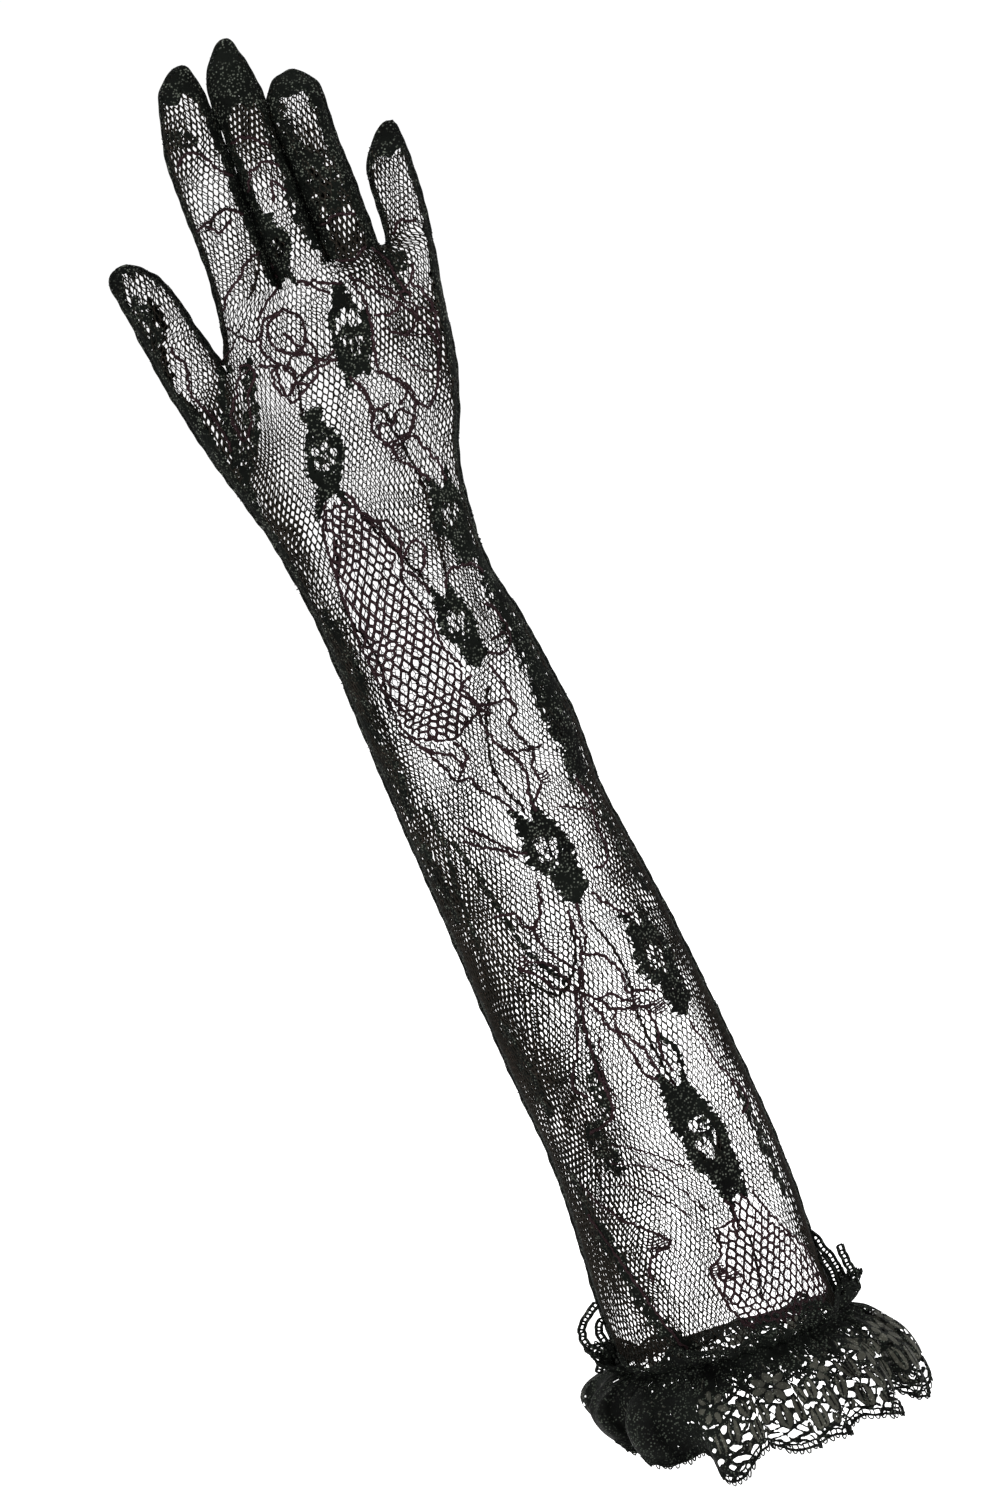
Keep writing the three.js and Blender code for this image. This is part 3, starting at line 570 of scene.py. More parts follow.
# Cords that outline the pattern on the back panel, as the camera sees them
BACK_CORDS = [
    [(9, 234), (4, 231), (6, 226), (6, 222), (2, 220), (-5, 217), (-11, 219), (-17, 223), (-19, 232),
     (-19, 240)],
    [(-20, 262), (-20, 252), (-19, 240), (-16, 232), (-14, 228)],
    [(7, 237), (4, 245), (4, 255), (2, 263), (0, 271)],
    [(-20, 262), (-19, 272), (-18, 285), (-15, 298), (-12, 303)],
    [(0, 271), (3, 277), (2, 283), (1, 289), (-3, 296), (-5, 303)],
    [(-20, 226), (-14, 216), (-11, 209), (-9, 204), (-5, 203), (-3, 198), (1, 193), (4, 188)],
    [(-17, 221), (-12, 215), (-7, 212), (-6, 207), (-9, 204)], [(-5, 216), (-3, 210), (-6, 207)],
    [(5, 222), (6, 215), (8, 208), (11, 203), (12, 198), (10, 190), (10, 185)],
    [(6, 224), (11, 222), (16, 222), (17.5, 218), (14, 215), (15, 208), (17, 204), (15, 199), (15, 193),
     (11, 188)],
    [(8, 208), (12, 205), (17, 204), (20, 204)], [(4, 228), (6, 224), (9, 219)],
    [(15, 235), (16.5, 227), (17, 219)], [(22, 253), (24, 249), (25, 243), (24, 238), (20, 236), (16, 238)],
    [(19, 241), (22, 242), (25, 241)], [(12, 262), (14, 266), (19, 267), (23, 266), (25, 262)],
    [(7, 263), (5, 269), (2, 275), (5, 278), (9, 280), (11, 277), (9, 273), (7, 270)],
    [(-13, 190), (-8, 184), (-4, 179), (0, 175), (2, 174)], [(-15, 186), (-10, 181), (-5, 178), (-1, 174)],
    [(2, 164), (0, 158), (-3, 153), (-6, 151), (-8, 154), (-10, 158), (-15, 159)],
    [(-6, 151), (-4, 142), (0, 136), (2, 132), (0, 127)], [(-15, 141), (-10, 136), (-6, 130), (0, 126)],
    [(-12, 142), (-6, 139), (-2, 131), (0, 127)], [(7, 152), (6.4, 146), (6, 140), (4, 134), (1, 127)],
    [(10, 153), (9.4, 146), (8, 140), (6, 137), (10, 135), (13, 131), (14.5, 126), (14, 120), (18, 119),
     (22, 117)],
    [(0, 126), (4, 122), (8, 117), (13, 115), (17, 114), (21, 113)],
    [(4, 122), (9, 122), (12, 118), (15, 117)],
    [(0, 126), (3, 117), (4, 112), (8, 108), (10, 104), (12, 99), (13, 92)],
    [(8, 117), (6, 112), (7, 105), (8, 98), (9, 93), (12, 91)], [(17, 114), (18, 106), (16, 98), (17, 91)],
    [(0, 126), (-3, 115), (-4, 108), (-5, 100), (-5, 93), (-6, 86), (-11, 84), (-15, 83)],
    [(-1, 126), (-5, 117), (-9, 108), (-12, 104), (-14, 99), (-11, 94)],
    [(16, 154), (19, 149), (22, 145), (25, 142)],
    [(20, 161), (24, 161), (26, 165), (26, 172), (27, 180), (26, 190)],
    [(28, 104), (30, 96), (31, 88), (33, 82), (33, 75)], [(33, 82), (35, 78), (35, 72), (32, 70)],
    [(-24, 70), (-22, 63), (-19, 58), (-16, 53), (-12, 49), (-9, 46), (-5, 41)],
    [(-5, 41), (-8, 40), (-12, 39), (-15, 36), (-16, 32)],
    [(-26, 60), (-24, 50), (-22, 40), (-20, 30), (-17, 16), (-14, 6)],
    [(16, 47), (17, 42), (15, 37), (15, 33)], [(25, 46), (27, 38), (30, 30), (34, 20)],
    [(9, 39), (16, 39.5)], [(9, 39), (8, 31), (3, 28), (3, 20), (5, 10), (8, 4)],
    [(14, 311), (15, 306), (19, 301), (21, 296)],
    [(14, 311), (18, 311), (22, 311), (24, 306), (26, 300), (26, 294)],
    [(-4, 302), (-3, 296), (0, 291), (3, 290), (5, 285), (4, 279)],
    [(14, 311), (12, 315), (14, 319), (17, 317), (21, 321), (24, 318), (22, 313), (18, 312)],
    [(11, 320), (14, 323), (13, 329), (12, 335)], [(22, 322), (26, 325), (24, 330), (20, 335)],
    [(26, 325), (28, 320), (30, 318), (34, 321), (39, 330), (43, 341), (44, 350), (41, 357)],
    [(24, 364), (25, 356), (23, 346), (20, 336)], [(30, 363), (33, 358), (36, 355), (41, 357), (44, 362)],
    [(0, 365), (4, 360), (3, 354), (0, 351), (-5, 352), (-8, 357), (-6, 363), (0, 365)],
    [(-15, 352), (-11, 350), (-8, 349), (-5, 346), (-6, 342), (-10, 339), (-12, 343), (-11, 349)],
    [(-6, 348), (-3, 350), (1, 349), (3, 345), (1, 341), (-3, 340), (-6, 342)],
    [(3, 345), (7, 345), (10, 347)], [(3, 354), (4, 349), (3, 345)], [(-8, 338), (-7, 342)],
    [(1, 349), (-1, 354), (-3, 358)], [(-18, 372), (-14, 377), (-9, 380), (-4, 384), (0, 385)],
    [(-15, 399), (-9, 401), (-4, 402), (0, 398)], [(-13, 420), (-8, 423), (-4, 420), (-1, 414), (2, 411)],
    [(-12, 400), (-9, 396), (-4, 398)], [(8, 371), (13, 369), (18, 366), (21, 365)],
    [(22, 373), (27, 371), (32, 373)], [(5, 404), (9, 410), (13, 411), (17, 408)],
    [(6, 420), (10, 421), (14, 418), (17, 414)], [(11, 398), (13, 404), (16, 400)],
    [(22, 385), (27, 386), (33, 384)], [(42, 373), (46, 376), (50, 374)],
    [(-38, 352), (-36, 360), (-38, 368)], [(-33, 330), (-34, 340), (-38, 352)],
    [(29, 345), (33, 342), (37, 344), (40, 349)], [(26, 352), (31, 350), (36, 352)],
    [(-18.4, 366.6), (-17, 363.7), (-10.6, 359.4), (-7.7, 363.7), (-2.7, 365)],
    [(-10.6, 359.4), (-11.3, 355), (-8, 349), (-4.9, 343.7), (3, 343.7), (9.4, 343.7)],
    [(2.3, 381), (1.6, 373.7), (-4.9, 368.7), (-9, 365)], [(8, 372), (13, 366.6), (15.9, 363.7)],
    [(-29, 332), (-28.4, 341), (-23.4, 348), (-17.7, 353.7), (-16.3, 351), (-21.3, 343.7), (-23.4, 336.6),
     (-28.4, 331)],
    [(23.7, 366.6), (28, 361), (33.7, 353.7), (39.4, 343.7), (41, 335)],
    [(33.7, 372), (37.3, 359.4), (39.4, 352)],
    [(19.4, 335), (22.3, 332), (25.9, 328.7), (26.6, 321), (23.7, 315), (18, 312), (12.3, 313.7),
     (10.9, 318.7), (13, 323), (19.4, 323.7)],
    [(10.9, 336.6), (13.7, 329.4), (12.3, 323)], [(-9, 349), (-10.6, 342), (-9, 336.6), (-2, 339.4)]]
# Single threads that lie across the net, thinner than a cord
PULLED_THREADS = [
    [(-10, 77), (-4, 73), (1, 69), (5, 65), (9, 61)],
    [(-13, 72), (-7, 69), (-1, 65), (3, 58), (6, 52), (9, 46)],
    [(-17, 66), (-10, 63), (-5, 58), (0, 52), (4, 46)], [(17, 184), (22, 181), (27, 178)],
    [(-16, 352), (-22, 350), (-27, 343)], [(-14, 366), (-20, 360), (-26, 357)],
    [(0, 110), (-4, 100), (-3, 90)], [(28, 338), (33, 330), (38, 327)], [(27, 347), (34, 341), (42, 339)],
    [(31, 366), (37, 352), (45, 344)]]
PULLED_WIDTH = 0.6
PALM_CORDS = [
    [(12, 228), (6, 215), (3, 200), (7, 186)], [(6, 148), (2, 135), (-6, 128), (-14, 136)],
    [(12, 146), (16, 130), (14, 112), (16, 84)], [(-16, 98), (-14, 84), (-18, 70), (-16, 52)],
    [(8, 266), (2, 280), (-4, 296)], [(14, 266), (18, 290), (16, 324)], [(-8, 330), (-4, 342), (6, 346)],
    [(16, 44), (18, 30), (14, 12)], [(-20, 232), (-17, 250), (-20, 270), (-14, 290)],
    [(-10, 372), (-4, 378), (0, 384)], [(-12, 398), (-6, 402), (0, 399)], [(24, 374), (30, 377), (34, 374)]]
# Short brushes of parallel threads as the camera sees them: x, up, width, height and count
BRUSHES = [
    (-9, 42, 8, 4.5, 6), (5, 27, 5, 3, 5), (8, 23.5, 7, 2.5, 4), (21, 112, 6, 4, 6), (-5.5, 150, 4, 4, 5),
    (15, 116.5, 4, 3, 4), (8, 221, 4, 3, 4), (15, 308, 5, 4, 5), (-13, 142, 5, 3, 4), (17, 194, 4, 3, 4)]


def in_outline(x, z, outline):
    """Which points lie inside a closed outline."""
    inside = np.zeros(x.shape, bool)
    for (x0, z0), (x1, z1) in zip(outline, outline[1:] + outline[:1]):
        crossing = (z0 > z) != (z1 > z)
        inside ^= crossing & (x < (x1 - x0) * (z - z0) / ((z1 - z0) or 1) + x0)
    return inside


def to_line(x, z, line):
    """Distance to the nearest stretch of a line."""
    nearest = np.full(x.shape, FAR)
    for (x0, z0), (x1, z1) in zip(line[:-1], line[1:]):
        along_x, along_z = x1 - x0, z1 - z0
        t = np.clip(((x - x0) * along_x + (z - z0) * along_z) / (along_x ** 2 + along_z ** 2), 0, 1)
        nearest = np.minimum(nearest, np.hypot(x - x0 - t * along_x, z - z0 - t * along_z))
    return nearest


def depth_in(x, z, outline):
    """Distance to the nearest edge of a closed outline, over 0 inside it."""
    nearest = to_line(x, z, outline + outline[:1])
    return np.where(in_outline(x, z, outline), nearest, -nearest)


MOTIF_REACH = (14, 29)
FLOWER_RAGGED = (0.45, 2.4)
HOLE_RAGGED = (0.15, 1.6)


def motif_field(u, v, chart, motifs):
    """Cloth of the motifs over a grid of the chart: over 0 inside. Its edges are stepped and ragged."""
    total = np.full(u.shape, OUTSIDE)
    for name, x, up, wide, tall, turn in motifs:
        centre_u, centre_v = from_view(chart, x, up)
        near = (np.abs(u - centre_u) < MOTIF_REACH[0] * wide) & (np.abs(v - centre_v) < MOTIF_REACH[1] * tall)
        a, b = rotated(u[near] - centre_u, v[near] - centre_v, turn)
        a, b = a / wide, b / tall
        outline, holes = FLOWERS[name]
        steps = np.sign(np.sin(b * 2 * math.pi / EDGE_STEP_PITCH + 1.5 * drift(a, b, 7, 50)))
        flower = depth_in(a + EDGE_STEP_DEPTH * steps, b, outline)
        flower = flower + FLOWER_RAGGED[0] * drift(a, b, FLOWER_RAGGED[1], 51)
        for hole_x, hole_z, half_width, half_height, hole_turn in holes:
            hole = lobe(a, b, hole_x, hole_z, half_width + HOLE_EASE, half_height + HOLE_EASE, hole_turn)
            flower = np.minimum(flower, HOLE_RAGGED[0] * drift(a, b, HOLE_RAGGED[1], 52) - hole)
        total[near] = np.maximum(total[near], flower)
    return total


BAND_STEP = 2.0


def band_field(u, v, chart, bands):
    """Streaks where threads or folds of the lace lie close together: over 0 inside."""
    total = np.full(u.shape, OUTSIDE)
    for half_width, line in bands:
        path = resampled([from_view(chart, x, up) for x, up in line], BAND_STEP)
        low, high = path.min(axis=0) - 3 * half_width, path.max(axis=0) + 3 * half_width
        near = (u > low[0]) & (u < high[0]) & (v > low[1]) & (v < high[1])
        ragged = 0.5 * half_width * drift(u[near], v[near], 3.5, 53) + 0.4 * drift(u[near], v[near], 1.8, 54)
        band = half_width - to_line(u[near], v[near], path) + ragged
        total[near] = np.maximum(total[near], band)
    return total


# Fingertips: length of the dense end, widths of the dense bands along the left and right edges, and the
# heights over which these bands take over from those of the hand
TIPS = [
    (2.5, 3.4, 2.0, 348, 358), (9.0, 1.3, 4.2, 350, 362), (21.0, 3.8, 4.4, 362, 378),
    (6.5, 5.0, 5.0, 362, 378), (9.5, 1.8, 2.2, 356, 372)]
LEFT_BAND = 6.5
RIGHT_BAND = 4.6
BANDS_PART_X = 2


def edge_cover(u, v, chart):
    """Over 0 in the seam allowance and in the dense fingertips."""
    x = chart.x_at(u, v)
    band = np.where(x < BANDS_PART_X, LEFT_BAND, RIGHT_BAND)
    cover = np.full(u.shape, OUTSIDE)
    for rows, (length, left_band, right_band, low, high) in zip(DIGITS, TIPS):
        left, right = sides_at(rows, v)
        here = (x > left - 1) & (x < right + 1) & (v > low) & (v <= rows[-1, HEIGHT])
        own = np.where(2 * x < left + right, left_band, right_band)
        band = np.where(here, band + (own - band) * smoothstep(v, low, high), band)
        tip = v - (rows[-1, HEIGHT] - length) + 1.3 * np.sin(x * 0.9) + 1.2 * drift(u, v, 5, 43)
        cover = np.where(here, np.maximum(cover, tip), cover)
    ragged = 0.7 * drift(u, v, 5, 41) + 0.5 * drift(u, v, 2.2, 42)
    return np.maximum(cover, band + ragged - chart.to_edge(u, v))


PIN_HOLE_COLUMNS = 4
PIN_HOLE_ROWS = 5
PIN_HOLE = -0.9
BESIDE_PIN_HOLE = -0.35


def pierced(field, u, v):
    """The cloth with rows of pin holes, open in patches, as where a weave is loose."""
    j, i = np.indices(field.shape)
    row = j // PIN_HOLE_ROWS
    on_column = (i + 2 * (row % 2)) % PIN_HOLE_COLUMNS == 0
    sites = (j % PIN_HOLE_ROWS == 0) & on_column & (drift(u, v, 6, 61) > 0.25)
    result = np.where(sites, np.minimum(field, PIN_HOLE), field)
    beside = np.roll(sites, 1, axis=0) & (drift(u, v, 4, 62) > -0.1)
    return np.where(beside, np.minimum(result, BESIDE_PIN_HOLE), result)


def panel_cloth(chart, motifs, bands, step):
    """The dense parts of a panel: its motifs, its seam allowance and its fingertips."""
    us = np.arange(-CLOTH_HALF_WIDTH, CLOTH_HALF_WIDTH + step, step)
    vs = np.arange(HEM_Z + 0.2, TOP_Z, step)
    u, v = np.meshgrid(us, vs)
    field = np.maximum(motif_field(u, v, chart, motifs), edge_cover(u, v, chart))
    field = np.maximum(field, band_field(u, v, chart, bands))
    return np.minimum(pierced(field, u, v), chart.to_edge(u, v) - CLOTH_FROM_EDGE), us, vs


def tube_points(path, normals, width, height, sides, swell=None):
    """Rings of a tube along a path. Its width and height may swell from ring to ring."""
    tangents = unit(np.gradient(path, axis=0))
    aside = unit(np.cross(tangents, normals))
    up = np.cross(aside, tangents)
    angles = 2 * math.pi * np.arange(sides) / sides
    ring = np.cos(angles)[None, :, None] * aside[:, None] * width
    ring = ring + np.sin(angles)[None, :, None] * up[:, None] * height
    return path[:, None] + (ring if swell is None else ring * swell[:, None, None])


def tube_object(name, tubes, places, sides, material):
    """One mesh of closed tubes; each tube is an array of rings."""
    points, faces, caps, chart_places = [], [], [], []
    start = 0
    for rings, where in zip(tubes, places):
        n = len(rings)
        ids = start + np.arange(n * sides).reshape(n, sides)
        after = np.roll(ids, -1, axis=1)
        faces.append(np.stack([ids[:-1], after[:-1], after[1:], ids[1:]], axis=-1).reshape(-1, 4))
        caps += [ids[0][::-1], ids[-1]]
        points.append(rings.reshape(-1, 3))
        chart_places.append(np.repeat(where, sides, axis=0))
        start += n * sides
    faces = [np.concatenate(faces), np.array(caps)]
    return make_object(name, [(np.concatenate(points), faces, np.concatenate(chart_places), material)])


def resampled(points, step):
    """Smooth path through a few points, with an even step."""
    points = np.asarray(points, float)
    knots = lengths_along(points)
    at = np.linspace(0, knots[-1], max(int(knots[-1] / step), 2) + 1)
    return read_along(at, knots, points, np.interp if len(points) < 3 else smooth_curve)


def beside(path):
    """Unit vectors at right angles to a flat path."""
    along = np.gradient(path, axis=0)
    return unit(np.stack([along[:, 1], -along[:, 0]], axis=1))


CORD_STEP = 0.7
CORD_STRAND = (0.33, 0.264)
CORD_TWIST = 3.6
CORD_OFFSET = 0.27
CORD_SHAKE = 0.38
CORD_LIFT = (0.32, 0.16)
CORD_SWELL = 0.36
CORD_SIDES = 4
BRUSH_POINTS = 6
BRUSH_THREAD = (0.27, 0.2)


def cord_object(name, chart, cords, threads, brushes, material):
    """The cords that outline the pattern, each of two uneven strands twisted together, the thinner threads
    and the short brushes."""
    tubes, places = [], []

    def add(path, lift, radii, swell=None):
        u, v = path.T
        tubes.append(tube_points(chart.place(u, v, lift), chart.normal(u, v), *radii, CORD_SIDES, swell))
        places.append(path)

    for number, (line, width) in enumerate([(c, 1.0) for c in cords] + [(c, PULLED_WIDTH) for c in threads]):
        middle = resampled([from_view(chart, x, up) for x, up in line], CORD_STEP)
        u, v = middle.T
        middle = middle + CORD_SHAKE * np.stack([drift(u, v, 3.2, 7), drift(u, v, 3.0, 8)], axis=1)
        u, v = middle.T
        for strand in (0, 1):
            turn = 2 * math.pi * (np.arange(len(middle)) * CORD_STEP / CORD_TWIST + number * 0.37)
            turn = turn + strand * math.pi
            path = middle + beside(middle) * (width * CORD_OFFSET * np.cos(turn))[:, None]
            swell = width * (1 + CORD_SWELL * drift(u, v, 3.4, 70 + strand))
            add(path, CORD_LIFT[0] + CORD_LIFT[1] * np.sin(turn), CORD_STRAND, swell)
    for x, up, wide, tall, count in brushes:
        middle, height = from_view(chart, x, up)
        for k in range(count):
            off_middle = k / (count - 1) - 0.5
            half = wide / 2 * (1 - 0.35 * abs(off_middle))
            path = np.stack([np.linspace(middle - half, middle + half, BRUSH_POINTS),
                             np.full(BRUSH_POINTS, height + tall * off_middle)], axis=1)
            path[:, 1] += 0.3 * drift(*path.T, 4, 71)
            add(path, CORD_LIFT[0], BRUSH_THREAD)
    return tube_object(name, tubes, places, CORD_SIDES, material)


# The seam starts up each digit a little over the crotch before it, and ends on the hand at these heights
THUMB_SEAM_FROM = 286
INDEX_SEAM_OVER_CROTCH = 8
SEAM_OVER_CROTCH = 3
HAND_SEAM_LEFT_TO = 282
LITTLE_SEAM_FROM = 366
HAND_SEAM_RIGHT_TO = 362
SEAM_POINT_STEP = 2.0
SEAM_STEP = 1.0


def seam_path():
    """The sewn outline seen from the front, from the hem round the digits and back to the hem."""
    def edge(rows, column, low, high):
        z = np.arange(low, high, SEAM_POINT_STEP)
        return [(float(x), float(h)) for x, h in zip(smooth_curve(z, rows[:, HEIGHT], rows[:, column]), z)]

    points = edge(ARM_AND_HAND, LEFT, HEM_Z, HAND_SEAM_LEFT_TO)
    low = THUMB_SEAM_FROM
    for k, rows in enumerate(DIGITS):
        top = rows[-1, HEIGHT]
        points += edge(rows, LEFT, low, top)
        points.append((float(rows[-1, LEFT] + rows[-1, RIGHT]) / 2, float(top)))
        if k < len(CROTCHES):
            x, z = CROTCHES[k]
            points += edge(rows, RIGHT, z + SEAM_OVER_CROTCH, top)[::-1]
            points.append((x, z))
            low = z + (INDEX_SEAM_OVER_CROTCH if k == 0 else SEAM_OVER_CROTCH)
        else:
            points += edge(rows, RIGHT, LITTLE_SEAM_FROM, top)[::-1]
    points += edge(ARM_AND_HAND, RIGHT, HEM_Z, HAND_SEAM_RIGHT_TO)[::-1]
    return resampled(points, SEAM_STEP)


SEAM_RADIUS = 0.95
SEAM_DEPTH = 1.15
SEAM_SWELL = 0.2
SEAM_SIDES = 6
STITCH_PITCH = 1.6
STITCH_STEPS = 6
STITCH_SIDES = 3
STITCH_THREAD = 0.24
STITCH_HEIGHT = 1.3
STITCH_REACH = (1.3, 1.1)
STITCH_SHIFT = 1.6
STITCH_NARROW = 0.8
STITCH_UNEVEN = 0.16


def seam_objects(material, thread):
    """The seam ridge along the outline and the overlock thread wound round it."""
    flat = seam_path()
    x, z = flat.T
    path = np.stack([x, forward(x, z), z + raised(x, z)], axis=1)
    for _ in range(3):
        path[1:-1] = (path[:-2] + 2 * path[1:-1] + path[2:]) / 4
    swell = 1 + SEAM_SWELL * drift(x, z, 7, 5)
    rings = tube_points(path, FRONT, SEAM_RADIUS, SEAM_DEPTH * SEAM_RADIUS, SEAM_SIDES, swell)
    ridge = tube_object("seam_ridge", [rings], [flat], SEAM_SIDES, material)
    along = lengths_along(path)
    at = np.linspace(0, along[-1], int(along[-1] / STITCH_PITCH) * STITCH_STEPS)
    centre = read_along(at, along, path)
    aside = np.cross(unit(np.gradient(centre, axis=0)), FRONT)
    turn = 2 * math.pi * np.arange(len(at)) / STITCH_STEPS
    uneven = 1 + STITCH_UNEVEN * drift(at, at * 0.37, 6, 12)
    inward = (STITCH_REACH[0] + STITCH_REACH[1] * np.cos(turn)) * uneven - STITCH_SHIFT
    height = STITCH_HEIGHT * np.sin(turn) * uneven
    outward = FRONT * height[:, None] - aside * inward[:, None] * STITCH_NARROW
    rings = tube_points(centre + outward, unit(outward), STITCH_THREAD, STITCH_THREAD, STITCH_SIDES)
    winding = tube_object("overlock_thread", [rings], [read_along(at, along, flat)], STITCH_SIDES, thread)
    return ridge, winding


# Ruffle: rows of height over the gather line, flare from the sleeve, size of the waves and their rise, then
# how much the flare grows at the little finger's side and at the thumb's side, and the thumb side's lift
RUFFLE = np.array([
    (20, 8.0, 3.8, 3.4, 0, 0, 0), (15, 7.4, 3.4, 2.0, 0, 0, 0), (9, 6.0, 2.6, 0.9, 0, 0, 0),
    (4, 3.8, 1.5, 0.2, 0, 0, 0), (0, 1.15, 0.1, 0, 0, 0, 0), (-4, 5.8, 1.7, 0, 0, 1.2, 2.5),
    (-9, 11.4, 3.4, -0.4, -2.4, 1.2, 4.6), (-15, 15.4, 4.8, -0.8, -3.4, -0.8, 6.2),
    (-22, 17.0, 5.6, -1.6, -3.8, -4.4, 6.8), (-29, 16.6, 6.2, -2.4, -4.0, -9.6, 6.8)])[::-1]
GATHER_Z = 4.0
RUFFLE_WAIST = (-35.5, 36.5, 34.0, 35.0)
# How much of its width the heading stands up, and how much lower the ruffle is at the palm
HEADING_AT_FRONT = 0.45
HEADING_AT_PALM = -0.25
HEADING_AT_SIDES = 0.42
PALM_DROP = 6.2
# Waves round the arm, and how they shift along it: by how much, how many times a turn and from where
RUFFLE_WAVES = 13
WAVE_SHIFTS = [(0.09, 2, 0.6), (0.04, 5, 0.0)]
WAVE_SIZES = (0.82, 0.18)
FOLD_OVER = 1.9
PLEAT_DEPTH = 1.5
PLEATS_A_WAVE = 4
PLEATS_START = 3
PLEATS_FADE = 14
# The strip is laid out evenly at this place across it
EVEN_AT = -18.0
RUFFLE_REPEATS = 17
RUFFLE_REPEAT = 24.7
RUFFLE_STEP = 0.5
SKIRT_EDGE = -36.0
SKIRT_SCALLOP = 2.8
HEADING_EDGE = 17.5
HEADING_SCALLOP = 1.4


def squared(wave):
    """A sine or cosine wave fitted to the squarish section of the arm."""
    return np.sign(wave) * np.abs(wave) ** (2 / ARM_SQUARENESS)


class RuffleChart:
    """The ruffle laid flat: s runs along the strip, t up it from the gather line."""

    def __init__(self):
        self.length = RUFFLE_REPEATS * RUFFLE_REPEAT
        gather = int(np.argmax(RUFFLE[:, 0] == 0))
        knots = lengths_along(RUFFLE[:, :2])
        self.knots = knots - knots[gather]
        self.low, self.high = float(self.knots[0]), float(self.knots[-1])
        self.angles = np.linspace(0, 2 * math.pi, 4001)
        path = self._fold(self.angles, np.full(self.angles.shape, EVEN_AT))
        along = lengths_along(path)
        self.along = along * self.length / along[-1]

    def _fold(self, angle, t):
        """Place on the folded ruffle, from the angle round the arm and the height up the strip."""
        height, flare, wave, rise, right_flare, left_flare, left_lift = [
            smooth_curve(t, self.knots, RUFFLE[:, k]) for k in range(RUFFLE.shape[1])]
        height = height + np.clip(t - self.high, 0, None) - np.clip(self.low - t, 0, None)
        at_right, at_left = np.clip(np.cos(angle), 0, 1) ** 2, np.clip(-np.cos(angle), 0, 1) ** 2
        flare = flare + right_flare * at_right + left_flare * at_left
        left, right, back_depth, palm_depth = RUFFLE_WAIST
        shifted = angle
        for amount, times, start in WAVE_SHIFTS:
            shifted = shifted + amount * np.sin(times * angle + start)
        size = WAVE_SIZES[0] + WAVE_SIZES[1] * np.sin(3 * angle + 1.1)
        pleat = PLEAT_DEPTH * np.clip(np.abs(t) / PLEATS_START, 0, 1) * np.exp(-np.abs(t) / PLEATS_FADE)
        pleat = pleat * np.sin(PLEATS_A_WAVE * RUFFLE_WAVES * shifted + 2 * np.sin(7 * angle))
        reach = flare + wave * size * np.sin(RUFFLE_WAVES * shifted) + pleat
        over = FOLD_OVER * np.clip(-t / 10, 0, 1) * np.sin(2 * RUFFLE_WAVES * shifted) / (right + flare)
        turned = angle - over
        out = squared(np.sin(turned))
        least = np.where(out < 0, HEADING_AT_FRONT, HEADING_AT_PALM)
        standing = np.where(height > 0, least + (HEADING_AT_SIDES - least) * np.cos(turned) ** 2, 1)
        x = (left + right) / 2 + (right - left) / 2 * squared(np.cos(turned)) + np.cos(turned) * reach
        y = np.where(out < 0, back_depth, palm_depth) * out + np.sin(turned) * reach
        z = GATHER_Z + height * standing + rise * np.sin(RUFFLE_WAVES * shifted + 1.3) - LEAN * x
        z = z - PALM_DROP * np.clip(out, 0, 1) + left_lift * at_left
        return np.stack([x, y, z], axis=-1)

    def _angle(self, s):
        return np.interp(s % self.length, self.along, self.angles)

    def place(self, s, t):
        return self._fold(self._angle(s), t)

    def normal(self, s, t):
        along = self.place(s + 0.3, t) - self.place(s - 0.3, t)
        up = self.place(s, t + 0.3) - self.place(s, t - 0.3)
        return unit(np.cross(along, up))

    def turn_at(self, s):
        """Part of a turn round the arm, from 0 at the little finger's side."""
        return self._angle(s) / (2 * math.pi)


def within_repeat(s, start=0.0):
    return (s - start + RUFFLE_REPEAT / 2) % RUFFLE_REPEAT - RUFFLE_REPEAT / 2


def skirt_edge(s):
    return SKIRT_EDGE - SKIRT_SCALLOP * np.cos(2 * math.pi * s / RUFFLE_REPEAT)


def heading_edge(s):
    return HEADING_EDGE - HEADING_SCALLOP * np.cos(2 * math.pi * s / RUFFLE_REPEAT)


# One repeat of the skirt's lace: petals round the eye of a flower, hanging leaves and a lattice between them.
# Leaves: distance from the flower's middle line, height, half width, half height and turn in degrees
EYE_HEIGHT = -14.6
EYE_RADIUS = 1.1
EYE_RING = 0.34
PETALS = 7
PETAL_OUT = 4.0
PETAL_SIZE = (1.6, 2.9)
LEAVES = [
    (0, -26.0, 2.5, 5.0, 0), (5.9, -23.4, 2.1, 4.9, -8), (10.2, -17.6, 1.8, 4.0, 14),
    (11.6, -26.6, 1.9, 4.2, 0), (7.2, -29.6, 1.5, 2.2, -20)]
LEAF_SLIT = (0.28, 0.6)
LATTICE_PITCH = 3.5
LATTICE_BAR = 0.46
LATTICE_FROM = -7.5
LATTICE_SLOPES = [(0.5, 81), (-0.5, 92)]
# The cloth is closed from the gather line to about here, but for slits between the gathers
SKIRT_GATHERED = 10.2
GATHER_PITCH = 2.9
PALE_WITHIN = 0.3
# The part of the skirt that lies folded at the left of the front, as parts of a turn, is closer
CLOSE_FROM = (0.46, 0.53)
CLOSE_TO = (0.66, 0.74)


def closeness(turn):
    """From 0 to 1 in the folded part of the skirt."""
    return smoothstep(turn, *CLOSE_FROM) * (1 - smoothstep(turn, *CLOSE_TO))


